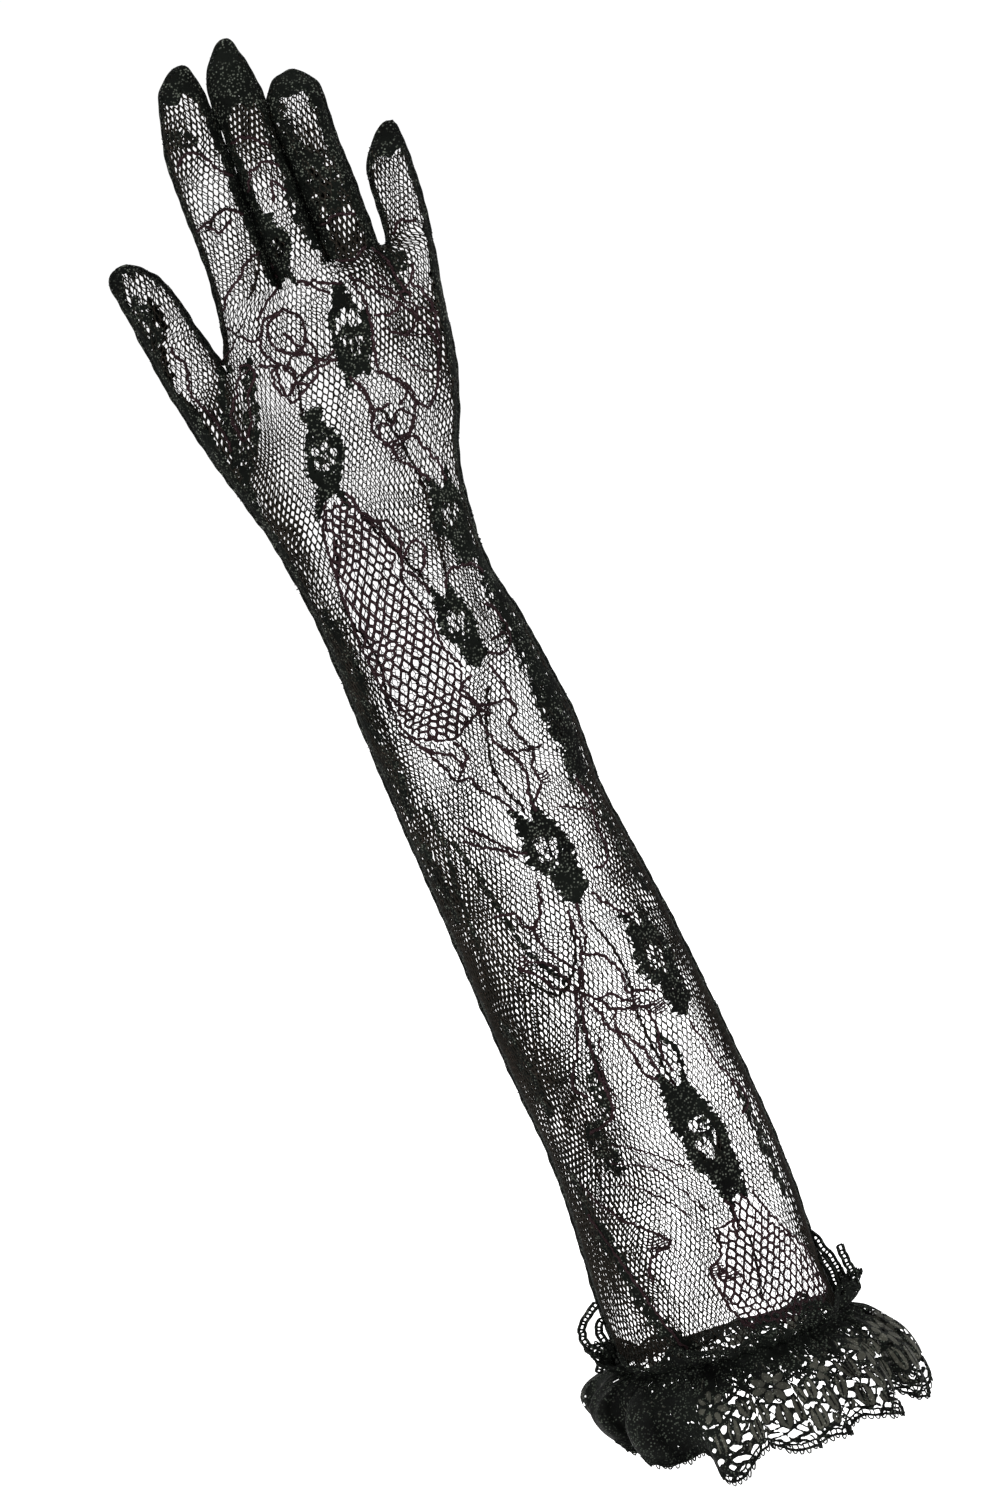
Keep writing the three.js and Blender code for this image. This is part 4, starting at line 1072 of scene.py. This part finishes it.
def petal_depth(s, t):
    """Over 0 in the petals and leaves of the skirt."""
    a = within_repeat(s) + 0.5 * drift(s, t, 16, 90)
    m = np.abs(a)
    depth = np.full(s.shape, OUTSIDE)
    for k in range(PETALS):
        angle = 2 * math.pi * k / PETALS
        x, z = PETAL_OUT * math.sin(angle), EYE_HEIGHT + PETAL_OUT * math.cos(angle)
        depth = np.maximum(depth, lobe(a, t, x, z, *PETAL_SIZE, -math.degrees(angle)))
    for x, z, wide, tall, turn in LEAVES:
        leaf = lobe(m if x else a, t, x, z, wide, tall, turn)
        slit = lobe(m if x else a, t, x, z + 0.3 * tall, LEAF_SLIT[0], LEAF_SLIT[1] * tall, turn)
        depth = np.maximum(depth, np.minimum(leaf, 0.1 - slit))
    return depth


def skirt_field(s, t, turn):
    """The trimming lace of the ruffle's skirt: over 0 on the cloth."""
    close = closeness(turn)
    ring = EYE_RING - np.abs(np.hypot(within_repeat(s), t - EYE_HEIGHT) - EYE_RADIUS)
    field = np.maximum(petal_depth(s, t), ring)
    bar = LATTICE_BAR + 0.12 * drift(s, t, 11, 91) + 1.1 * close
    for slope, seed in LATTICE_SLOPES:
        across = 0.86 * t + slope * s + 1.1 * drift(s, t, 10, seed)
        lines = bar - np.abs(across % LATTICE_PITCH - LATTICE_PITCH / 2)
        field = np.maximum(field, np.where(t < LATTICE_FROM, lines, OUTSIDE))
    gathered = SKIRT_GATHERED + 1.8 * np.sin(s * 1.9) + 2.6 * np.sin(s * 0.77 + 1) + 6 * close + t
    comb = np.sin(s * 2 * math.pi / GATHER_PITCH + 0.6 * np.sin(t * 0.8) + 0.7 * drift(s, t, 12, 86))
    slits = 0.95 - 1.2 * np.maximum(0, comb - 0.1) * np.clip(-t / 4, 0, 1) * (drift(s, t, 7, 87) > -0.2)
    field = np.maximum(field, np.minimum(gathered, 3 * slits - 0.45))
    ragged = field + 0.16 * drift(s, t, 1.9, 82)
    return np.minimum(ragged, t - skirt_edge(s) + 0.6)


# One repeat of the heading's lace: lobes, each with distance from the middle line, height, half width, half
# height and turn, their holes, and level threads and posts between them
HEADING_LOBES = [(0, 9.5, 3.6, 6.4, 0), (5.2, 9.0, 2.0, 5.4, -16), (9.6, 7.0, 2.0, 4.6, -10)]
HEADING_HOLES = [(1.2, 8.6, 0.6, 1.6), (0, 12.2, 0.8, 1.0), (5.3, 8.5, 0.5, 2.2)]
HEADING_LEVELS = (5.6, 9.0, 12.2)
HEADING_LEVEL_THREAD = 0.6
POST_PITCH = 3.4
POST_THREAD = 0.5
POSTS_FROM = 10
HEADING_GATHERED = 9.4


def heading_field(s, t, turn):
    """The trimming lace of the ruffle's heading: over 0 on the cloth. It is the same all round."""
    b = within_repeat(s, RUFFLE_REPEAT / 2)
    n = np.abs(b)
    field = np.max([lobe(n, t, *row) for row in HEADING_LOBES], axis=0)
    for row in HEADING_HOLES:
        field = np.minimum(field, -lobe(n, t, *row))
    wave = 0.6 * np.sin(b * 1.3) + 0.4 * drift(s, t, 8, 83)
    for level in HEADING_LEVELS:
        thread = HEADING_LEVEL_THREAD - np.abs(t - level - wave)
        field = np.maximum(field, np.where(n > 2.5, thread, OUTSIDE))
    posts = POST_THREAD - np.abs((s + 0.6 * np.sin(t)) % POST_PITCH - POST_PITCH / 2)
    field = np.maximum(field, np.where(t > POSTS_FROM, posts, OUTSIDE))
    gathered = HEADING_GATHERED + 1.2 * np.sin(s * 2.1) + 1.4 * np.sin(s * 0.63 + 2) - t
    field = np.maximum(field, gathered) + 0.2 * drift(s, t, 1.9, 84)
    return np.minimum(field, heading_edge(s) - t + 0.4)


# Cords of an edge: inset and radius. Rungs join them, and small loops stand out
EDGE_CORDS = [(0.0, 0.46), (-1.9, 0.36)]
EDGE_STEP = 0.75
RUNG_PITCH = 1.7
RUNG_LENGTH = 1.9
RUNG_RADIUS = 0.26
PICOT_PITCH = 2.06
PICOT_REACH = 1.7
PICOT_UNEVEN = (0.55, 1.25)
PICOT_WIDTH = 0.33
PICOT_RADIUS = 0.27


def edge_tubes(chart, edge, outward):
    """The double cord along one edge of the ruffle, and the small loops of thread that stand out from it."""
    tubes, places = [], []
    s = np.arange(0, chart.length + EDGE_STEP, EDGE_STEP)

    def add(path_s, path_t, radius):
        points, facing = chart.place(path_s, path_t), chart.normal(path_s, path_t)
        tubes.append(tube_points(points, facing, radius, radius, CORD_SIDES))
        places.append(np.stack([path_s, path_t], axis=1))

    for inset, radius in EDGE_CORDS:
        add(s, edge(s) + outward * (inset + 0.22 * drift(s, s * 0.3, 2.4, 85)), radius)
    for start in np.arange(0, chart.length, RUNG_PITCH):
        path_s = np.full(3, start)
        add(path_s, edge(path_s) - outward * np.linspace(0, RUNG_LENGTH, 3), RUNG_RADIUS)
    loop = np.linspace(0, math.pi, 6)
    uneven = np.random.default_rng(9)
    for start in np.arange(0, chart.length - PICOT_PITCH, PICOT_PITCH):
        reach = PICOT_REACH * uneven.uniform(*PICOT_UNEVEN)
        lean = uneven.uniform(-0.5, 0.5)
        path_s = start + PICOT_PITCH * PICOT_WIDTH * (1 - np.cos(loop)) + lean * np.sin(loop)
        add(path_s, edge(path_s) + outward * reach * np.sin(loop), PICOT_RADIUS)
    return tubes, places


# Ends of the heading's edge that stand out from the sleeve's sides, as points across and up
SIDE_LOOPS = [
    [(-35.5, 32.5), (-38, 31), (-41.5, 28.5), (-44, 24), (-43.6, 20), (-41.5, 17), (-39, 14.5), (-42, 13),
     (-44, 11)],
    [(35.5, 26), (37.5, 23.5), (39, 19), (40.5, 14), (41, 8), (42.5, 3)],
    [(44.4, 17.5), (44.2, 13), (44.8, 8), (44, 2)], [(-36, 26), (-38.6, 22), (-38, 17), (-36.6, 12)],
    [(37, 17), (38.6, 11), (38, 4)]]
LOOP_WIDTH = 1.8
LOOP_STEP = 0.7
LOOP_CORD = 0.55
LOOP_RUNG = 0.36
LOOP_FORWARD = (-6.0, -2.4)


def side_loop_tubes():
    """Narrow ladders of thread: two cords with rungs between them."""
    tubes, places = [], []
    for number, line in enumerate(SIDE_LOOPS):
        flat = resampled(line, LOOP_STEP)
        x, up = flat.T
        flat = flat + 0.25 * np.stack([drift(x, up, 4, 88), drift(up, x, 4, 89)], axis=1)
        rails = [flat + beside(flat) * side * LOOP_WIDTH / 2 for side in (-1, 1)]
        rungs = [np.linspace(a, b, 3) for a, b in list(zip(*rails))[::2]]
        threads = [(rail, LOOP_CORD) for rail in rails] + [(rung, LOOP_RUNG) for rung in rungs]
        for path, radius in threads:
            y = LOOP_FORWARD[number % 2] + 1.2 * np.sin(path[:, 1] * 0.35)
            points = np.stack([path[:, 0], y, path[:, 1]], axis=1)
            tubes.append(tube_points(points, FRONT, radius, radius, CORD_SIDES))
            places.append(path)
    return tubes, places


def ruffle_objects(chart, material, petal_material):
    """The skirt with its paler petals, the heading, their edge cords and the side loops."""
    lace_parts = []
    ss = np.arange(0, chart.length + RUFFLE_STEP / 2, RUFFLE_STEP)
    strips = [(SKIRT_EDGE - 4, 0.0, skirt_field), (0.0, HEADING_EDGE + 2.5, heading_field)]
    for low, high, lace_field in strips:
        ts = np.arange(low, high + RUFFLE_STEP / 2, RUFFLE_STEP)
        s, t = np.meshgrid(ss, ts)
        places, faces = filled(lace_field(s, t, chart.turn_at(s)), ss, ts)
        points = chart.place(*places.T)
        middle_s, middle_t = places[faces].mean(axis=1).T
        pale = petal_depth(middle_s, middle_t) > PALE_WITHIN + closeness(chart.turn_at(middle_s))
        for chosen, cloth in ((~pale, material), (pale, petal_material)):
            if chosen.any():
                lace_parts.append((points, [faces[chosen]], places, cloth))
    lace = make_object("ruffle_lace", lace_parts)
    skirt = edge_tubes(chart, skirt_edge, -1)
    heading = [tubes + loops for tubes, loops in zip(edge_tubes(chart, heading_edge, 1), side_loop_tubes())]
    edges = {f"ruffle_{name}_edge": tube_object(f"ruffle_{name}_edge", tubes, places, CORD_SIDES, material)
             for name, (tubes, places) in (("skirt", skirt), ("heading", heading))}
    return {"ruffle_lace": lace, **edges}


# Materials

BROAD_SCALE = 60
PATCH_SCALE = 210
GLINT_SCALE = 1100
TONE_RANGE = (0.3, 0.72)
GLINT_SPOTS = {"From Min": 0.40, "From Max": 0.10}
GLINT_PATCHES = {"From Min": 0.36, "From Max": 0.60}
GRAIN_RANGE = {"From Min": 0.3, "From Max": 0.7}
SMOOTHER = 0.14
ROUGHER = 0.16
GRAIN_BUMP = {"Strength": 0.5, "Distance": 0.0002}


def lace_material(name, dark, light, glint, roughness, grain, shine):
    """Black thread: colour and gloss vary a little, with a fine twisted grain and small painted glints:
    highlight specks, partly lighter threads.
    """
    material = bpy.data.materials.new(name)
    material.use_nodes = True
    tree = material.node_tree

    def add(kind, inputs, **settings):
        """New node. Each input is a value, or an output of another node, which is linked to it."""
        node = tree.nodes.new("ShaderNode" + kind)
        for setting, value in settings.items():
            setattr(node, setting, value)
        for socket, value in inputs.items():
            if isinstance(value, bpy.types.NodeSocket):
                tree.links.new(value, node.inputs[socket])
            else:
                node.inputs[socket].default_value = value
        return node

    place = {"Vector": add("TexCoord", {}).outputs["Object"]}
    broad = add("TexNoise", {"Scale": BROAD_SCALE, "Detail": 4, **place})
    tone = add("ValToRGB", {"Fac": broad.outputs["Fac"]})
    for element, position, shade in zip(tone.color_ramp.elements, TONE_RANGE, (dark, light)):
        element.position = position
        element.color = (*shade, 1)
    # Painted glints: small spots of the glint colour, in patches, mixed into the base colour as highlights
    glint_cells = add("TexVoronoi", {"Scale": GLINT_SCALE, **place})
    spots = add("MapRange", {"Value": glint_cells.outputs["Distance"], **GLINT_SPOTS})
    patches = add("TexNoise", {"Scale": PATCH_SCALE, **place})
    chosen = add("MapRange", {"Value": patches.outputs["Fac"], **GLINT_PATCHES})
    both = add("Math", {0: spots.outputs["Result"], 1: chosen.outputs["Result"]}, operation="MULTIPLY")
    colour = add("Mix", {"Factor": both.outputs["Value"], "A": tone.outputs["Color"], "B": (*glint, 1)},
                 data_type="RGBA")
    fine = add("TexNoise", {"Scale": grain, "Detail": 2, **place}).outputs["Fac"]
    gloss = add("MapRange", {"Value": fine, "To Min": roughness - SMOOTHER, "To Max": roughness + ROUGHER,
                             **GRAIN_RANGE})
    bump = add("Bump", {"Height": fine, **GRAIN_BUMP})
    shader = tree.nodes["Principled BSDF"]
    shader.inputs["Specular IOR Level"].default_value = shine
    tree.links.new(colour.outputs["Result"], shader.inputs["Base Color"])
    tree.links.new(gloss.outputs["Result"], shader.inputs["Roughness"])
    tree.links.new(bump.outputs["Normal"], shader.inputs["Normal"])
    return material


# Name, dark, light and glint colour (a painted highlight), roughness, scale of the grain and shine
LACE_MATERIALS = [
    ("net_thread", (0.003, 0.003, 0.002), (0.010, 0.008, 0.006), (0.03, 0.02, 0.015), 0.6, 2600, 0.05),
    ("motif_cloth", (0.001, 0.001, 0.001), (0.004, 0.005, 0.004), (0.10, 0.11, 0.09), 0.7, 1500, 0.02),
    ("cord_thread", (0.004, 0.002, 0.002), (0.018, 0.008, 0.010), (0.05, 0.03, 0.035), 0.55, 2200, 0.05),
    ("seam_thread", (0.001, 0.001, 0.001), (0.006, 0.007, 0.007), (0.16, 0.16, 0.16), 0.45, 1500, 0.08),
    ("ruffle_cloth", (0.001, 0.001, 0.001), (0.005, 0.006, 0.005), (0.06, 0.07, 0.055), 0.65, 1300, 0.03),
    ("petal_cloth", (0.010, 0.010, 0.008), (0.050, 0.050, 0.040), (0.12, 0.12, 0.10), 0.6, 1300, 0.05)]
net_black, cloth_black, cord_black, seam_black, ruffle_black, petal_grey = [
    lace_material(*row) for row in LACE_MATERIALS]


# The panels

# Areas where the strands are wider, so the lace is darker: partly denser or folded lace, partly painted shade
# on the shaded left side and between the digits: x, z, reach across and up, and how much wider the strands
# are
DENSE_AND_SHADED_AREAS = [
    (-28, 240, 6, 42, 1.5), (-27, 150, 7, 50, 1.3), (-29, 300, 6, 30, 1.0), (31, 190, 4, 60, 0.8),
    (37, 90, 4, 70, 0.8), (44, 335, 4, 22, 0.6), (-27, 60, 7, 50, 1.3), (-27, 348, 3, 12, 0.8),
    (-9, 432, 9, 9, 0.9), (-44, 375, 3, 22, 0.5), (28, 398, 8, 18, 1.2), (12, 425, 6, 10, 0.9),
    (38, 372, 6, 8, 1.0), (18, 285, 5, 12, 0.7), (-18, 150, 12, 45, 0.7), (12, 440, 8, 14, 1.2),
    (28, 415, 6, 10, 0.8), (-6, 300, 8, 6, 0.3), (-16, 90, 10, 30, 0.8), (-18, 30, 8, 25, 0.8),
    (34, 345, 9, 20, 0.45), (-33, 335, 3.5, 16, 1.0), (28, 225, 5, 40, 0.7), (28, 150, 6, 30, 0.6),
    (25, 380, 5, 8, 1.2)]
SEAM_SHADE = 0.9
# How far from the seams the strands are wider: on the arm and hand, and on the digits
SHADE_REACH = (7.0, 3.0)
DIGITS_FROM_Z = (345.0, 365.0)
DARKEST = 1.8
STRAND_UNEVEN = 0.15
# The net ends this far from the outline, and where the cloth covers it by so much
NET_FROM_EDGE = 0.35
COVERED_BY = 0.9
# Where the random wandering of each net starts
BACK_SEED = 3
PALM_SEED = 17
COARSE_SEED = 23
# Each panel is one sheet of lace, made as two meshes that meet at one height
PANEL_PARTS = [("sleeve", HEM_Z, 208.0), ("hand", 208.0, TOP_Z)]
COARSE_OUTLINES = [[from_view(back, x, up) for x, up in outline] for outline in COARSE_AREAS]


def net_strand(chart, base):
    """Half width of a net's strands, as a function of their place. The wider strands near the seams and in
    the dense and shaded areas paint shade, and in part denser lace.
    """
    def strand(u, v):
        x = chart.x_at(u, v)
        reach = SHADE_REACH[0] + (SHADE_REACH[1] - SHADE_REACH[0]) * smoothstep(v, *DIGITS_FROM_Z)
        dark = SEAM_SHADE * np.exp(-chart.to_edge(u, v) / reach)
        for middle, height, across, up, amount in DENSE_AND_SHADED_AREAS:
            dark = dark + amount * np.exp(-((x - middle) / across) ** 2 - ((v - height) / up) ** 2)
        return base * (1 + STRAND_UNEVEN * drift(u, v, 24, 31)) * (1 + np.minimum(dark, DARKEST))
    return strand


def in_coarse(u, v):
    return np.any([in_outline(u, v, outline) for outline in COARSE_OUTLINES], axis=0)


def panel_meshes(chart, side, motifs, bands, cloth_step, thread_width, seed):
    """The two meshes of a panel, by name: fine net, cloth, and on the back the coarse net."""
    field, us, vs = panel_cloth(chart, motifs, bands, cloth_step)
    places, faces = filled(field, us, vs)
    points = chart.place(*places.T, CLOTH_LIFT + CLOTH_RELIEF * drift(*places.T, 1.7, 55))
    if chart.side > 0:
        faces = faces[:, ::-1]
    face_height = places[faces, 1].mean(axis=1)

    def bare(u, v):
        i = np.clip(((u - us[0]) / cloth_step).round().astype(int), 0, len(us) - 1)
        j = np.clip(((v - vs[0]) / cloth_step).round().astype(int), 0, len(vs) - 1)
        return (chart.to_edge(u, v) > NET_FROM_EDGE) & (field[j, i] <= COVERED_BY)

    def bare_fine(u, v):
        return bare(u, v) & ~in_coarse(u, v)

    def bare_coarse(u, v):
        return bare(u, v) & in_coarse(u, v)

    thin, thick = net_strand(chart, thread_width), net_strand(chart, COARSE_STRAND)
    meshes = {}
    for part, low, high in PANEL_PARTS:
        keep = bare_fine if chart is back else bare
        chosen = faces[(face_height > low) & (face_height <= high)]
        parts = [net_part(chart, NET_PITCH, NET_RISE, thin, keep, (low, high), net_black, seed),
                 (points, [chosen], places, cloth_black)]
        if chart is back:
            parts.append(net_part(chart, COARSE_PITCH, COARSE_RISE, thick, bare_coarse, (low, high),
                                  cord_black, COARSE_SEED))
        meshes[f"{side}_lace_{part}"] = make_object(f"{side}_lace_{part}", parts)
    return meshes


# Build the glove

pieces = panel_meshes(back, "back", BACK_MOTIFS, BACK_BANDS, BACK_CLOTH_STEP, BACK_NET_STRAND, BACK_SEED)
pieces["back_cords"] = cord_object("back_cords", back, BACK_CORDS, PULLED_THREADS, BRUSHES, cord_black)
pieces.update(panel_meshes(palm, "palm", PALM_MOTIFS, [], PALM_CLOTH_STEP, PALM_NET_STRAND, PALM_SEED))
pieces["palm_cords"] = cord_object("palm_cords", palm, PALM_CORDS, [], [], cord_black)
pieces["seam_ridge"], pieces["overlock_thread"] = seam_objects(cloth_black, seam_black)
pieces.update(ruffle_objects(RuffleChart(), ruffle_black, petal_grey))

PARTS = ("sleeve", "hand", "thumb", "index", "middle", "ring", "little")
# What the pieces of each kind stand for, and their slot
KINDS = {
    "back": ([f"{part}_back" for part in PARTS], "lace"),
    "palm": ([f"{part}_palm" for part in PARTS], "lace"),
    "ruffle": (["ruffle"], "ruffle_lace"),
    "seam": ([], "thread"),
    "overlock": ([], "thread")}
for name, piece in pieces.items():
    nodes, slot = KINDS[name.split("_")[0]]
    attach(piece, "root")
    if nodes:
        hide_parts(*nodes)

for chart, side in ((back, "back"), (palm, "palm")):
    for part, low, high in PANEL_PARTS:
        width, length, area = chart.flat_size(low, high)


# Studio: wide pale floor, soft lights, and the camera at the photo's angle

FLOOR_Z = -0.16
FLOOR_REACH = 14.0
PALE = (0.98, 0.98, 0.98, 1)
floor_mesh = bpy.data.meshes.new("studio_floor")
floor_corners = [(-1, -1), (1, -1), (1, 1), (-1, 1)]
floor_points = [(x * FLOOR_REACH, y * FLOOR_REACH, FLOOR_Z) for x, y in floor_corners]
floor_mesh.from_pydata(floor_points, [], [(0, 1, 2, 3)])
pale = bpy.data.materials.new("pale_floor")
pale.use_nodes = True
pale.node_tree.nodes["Principled BSDF"].inputs["Base Color"].default_value = PALE
pale.node_tree.nodes["Principled BSDF"].inputs["Roughness"].default_value = 0.9
floor_mesh.materials.append(pale)
add_object("studio_floor", floor_mesh)

# Lights: name, place, size and power
LIGHTS = [
    ("key", (-1.3, -1.6, 1.6), 1.4, 42), ("fill", (1.6, -1.2, 0.7), 1.6, 22),
    ("back", (0.2, 1.2, 1.7), 1.6, 26)]
AIM = Vector((0.0, 0.0, 0.2))
WORLD_LIGHT = {"Color": (1, 1, 1, 1), "Strength": 1.05}
for name, place, size, power in LIGHTS:
    lamp = bpy.data.lights.new(name, "AREA")
    lamp.size = size
    lamp.energy = power
    light = add_object(name, lamp)
    light.location = place
    light.rotation_euler = (AIM - Vector(place)).to_track_quat("-Z", "Y").to_euler()
world = bpy.data.worlds.new("studio")
world.use_nodes = True
for socket, value in WORLD_LIGHT.items():
    world.node_tree.nodes["Background"].inputs[socket].default_value = value
bpy.context.scene.world = world
bpy.context.scene.view_settings.view_transform = "Standard"

camera_data = bpy.data.cameras.new("camera")
camera_data.sensor_fit = "VERTICAL"
camera_data.sensor_height = SENSOR_HEIGHT
camera_data.lens = LENS
camera_data.clip_end = 50
camera = add_object("camera", camera_data)
target = Vector((TARGET_X, 0, TARGET_Z)) * MM
towards = Vector((0, math.cos(ELEVATION), -math.sin(ELEVATION)))
level_up = Vector((0, math.sin(ELEVATION), math.cos(ELEVATION)))
level_right = Vector((1, 0, 0))
up = level_up * math.cos(PHOTO_LEAN) + level_right * math.sin(PHOTO_LEAN)
right = level_right * math.cos(PHOTO_LEAN) - level_up * math.sin(PHOTO_LEAN)
turn = Matrix((right, up, -towards)).transposed()
camera.matrix_world = Matrix.Translation(target - towards * CAMERA_DISTANCE * MM) @ turn.to_4x4()
bpy.context.scene.camera = camera
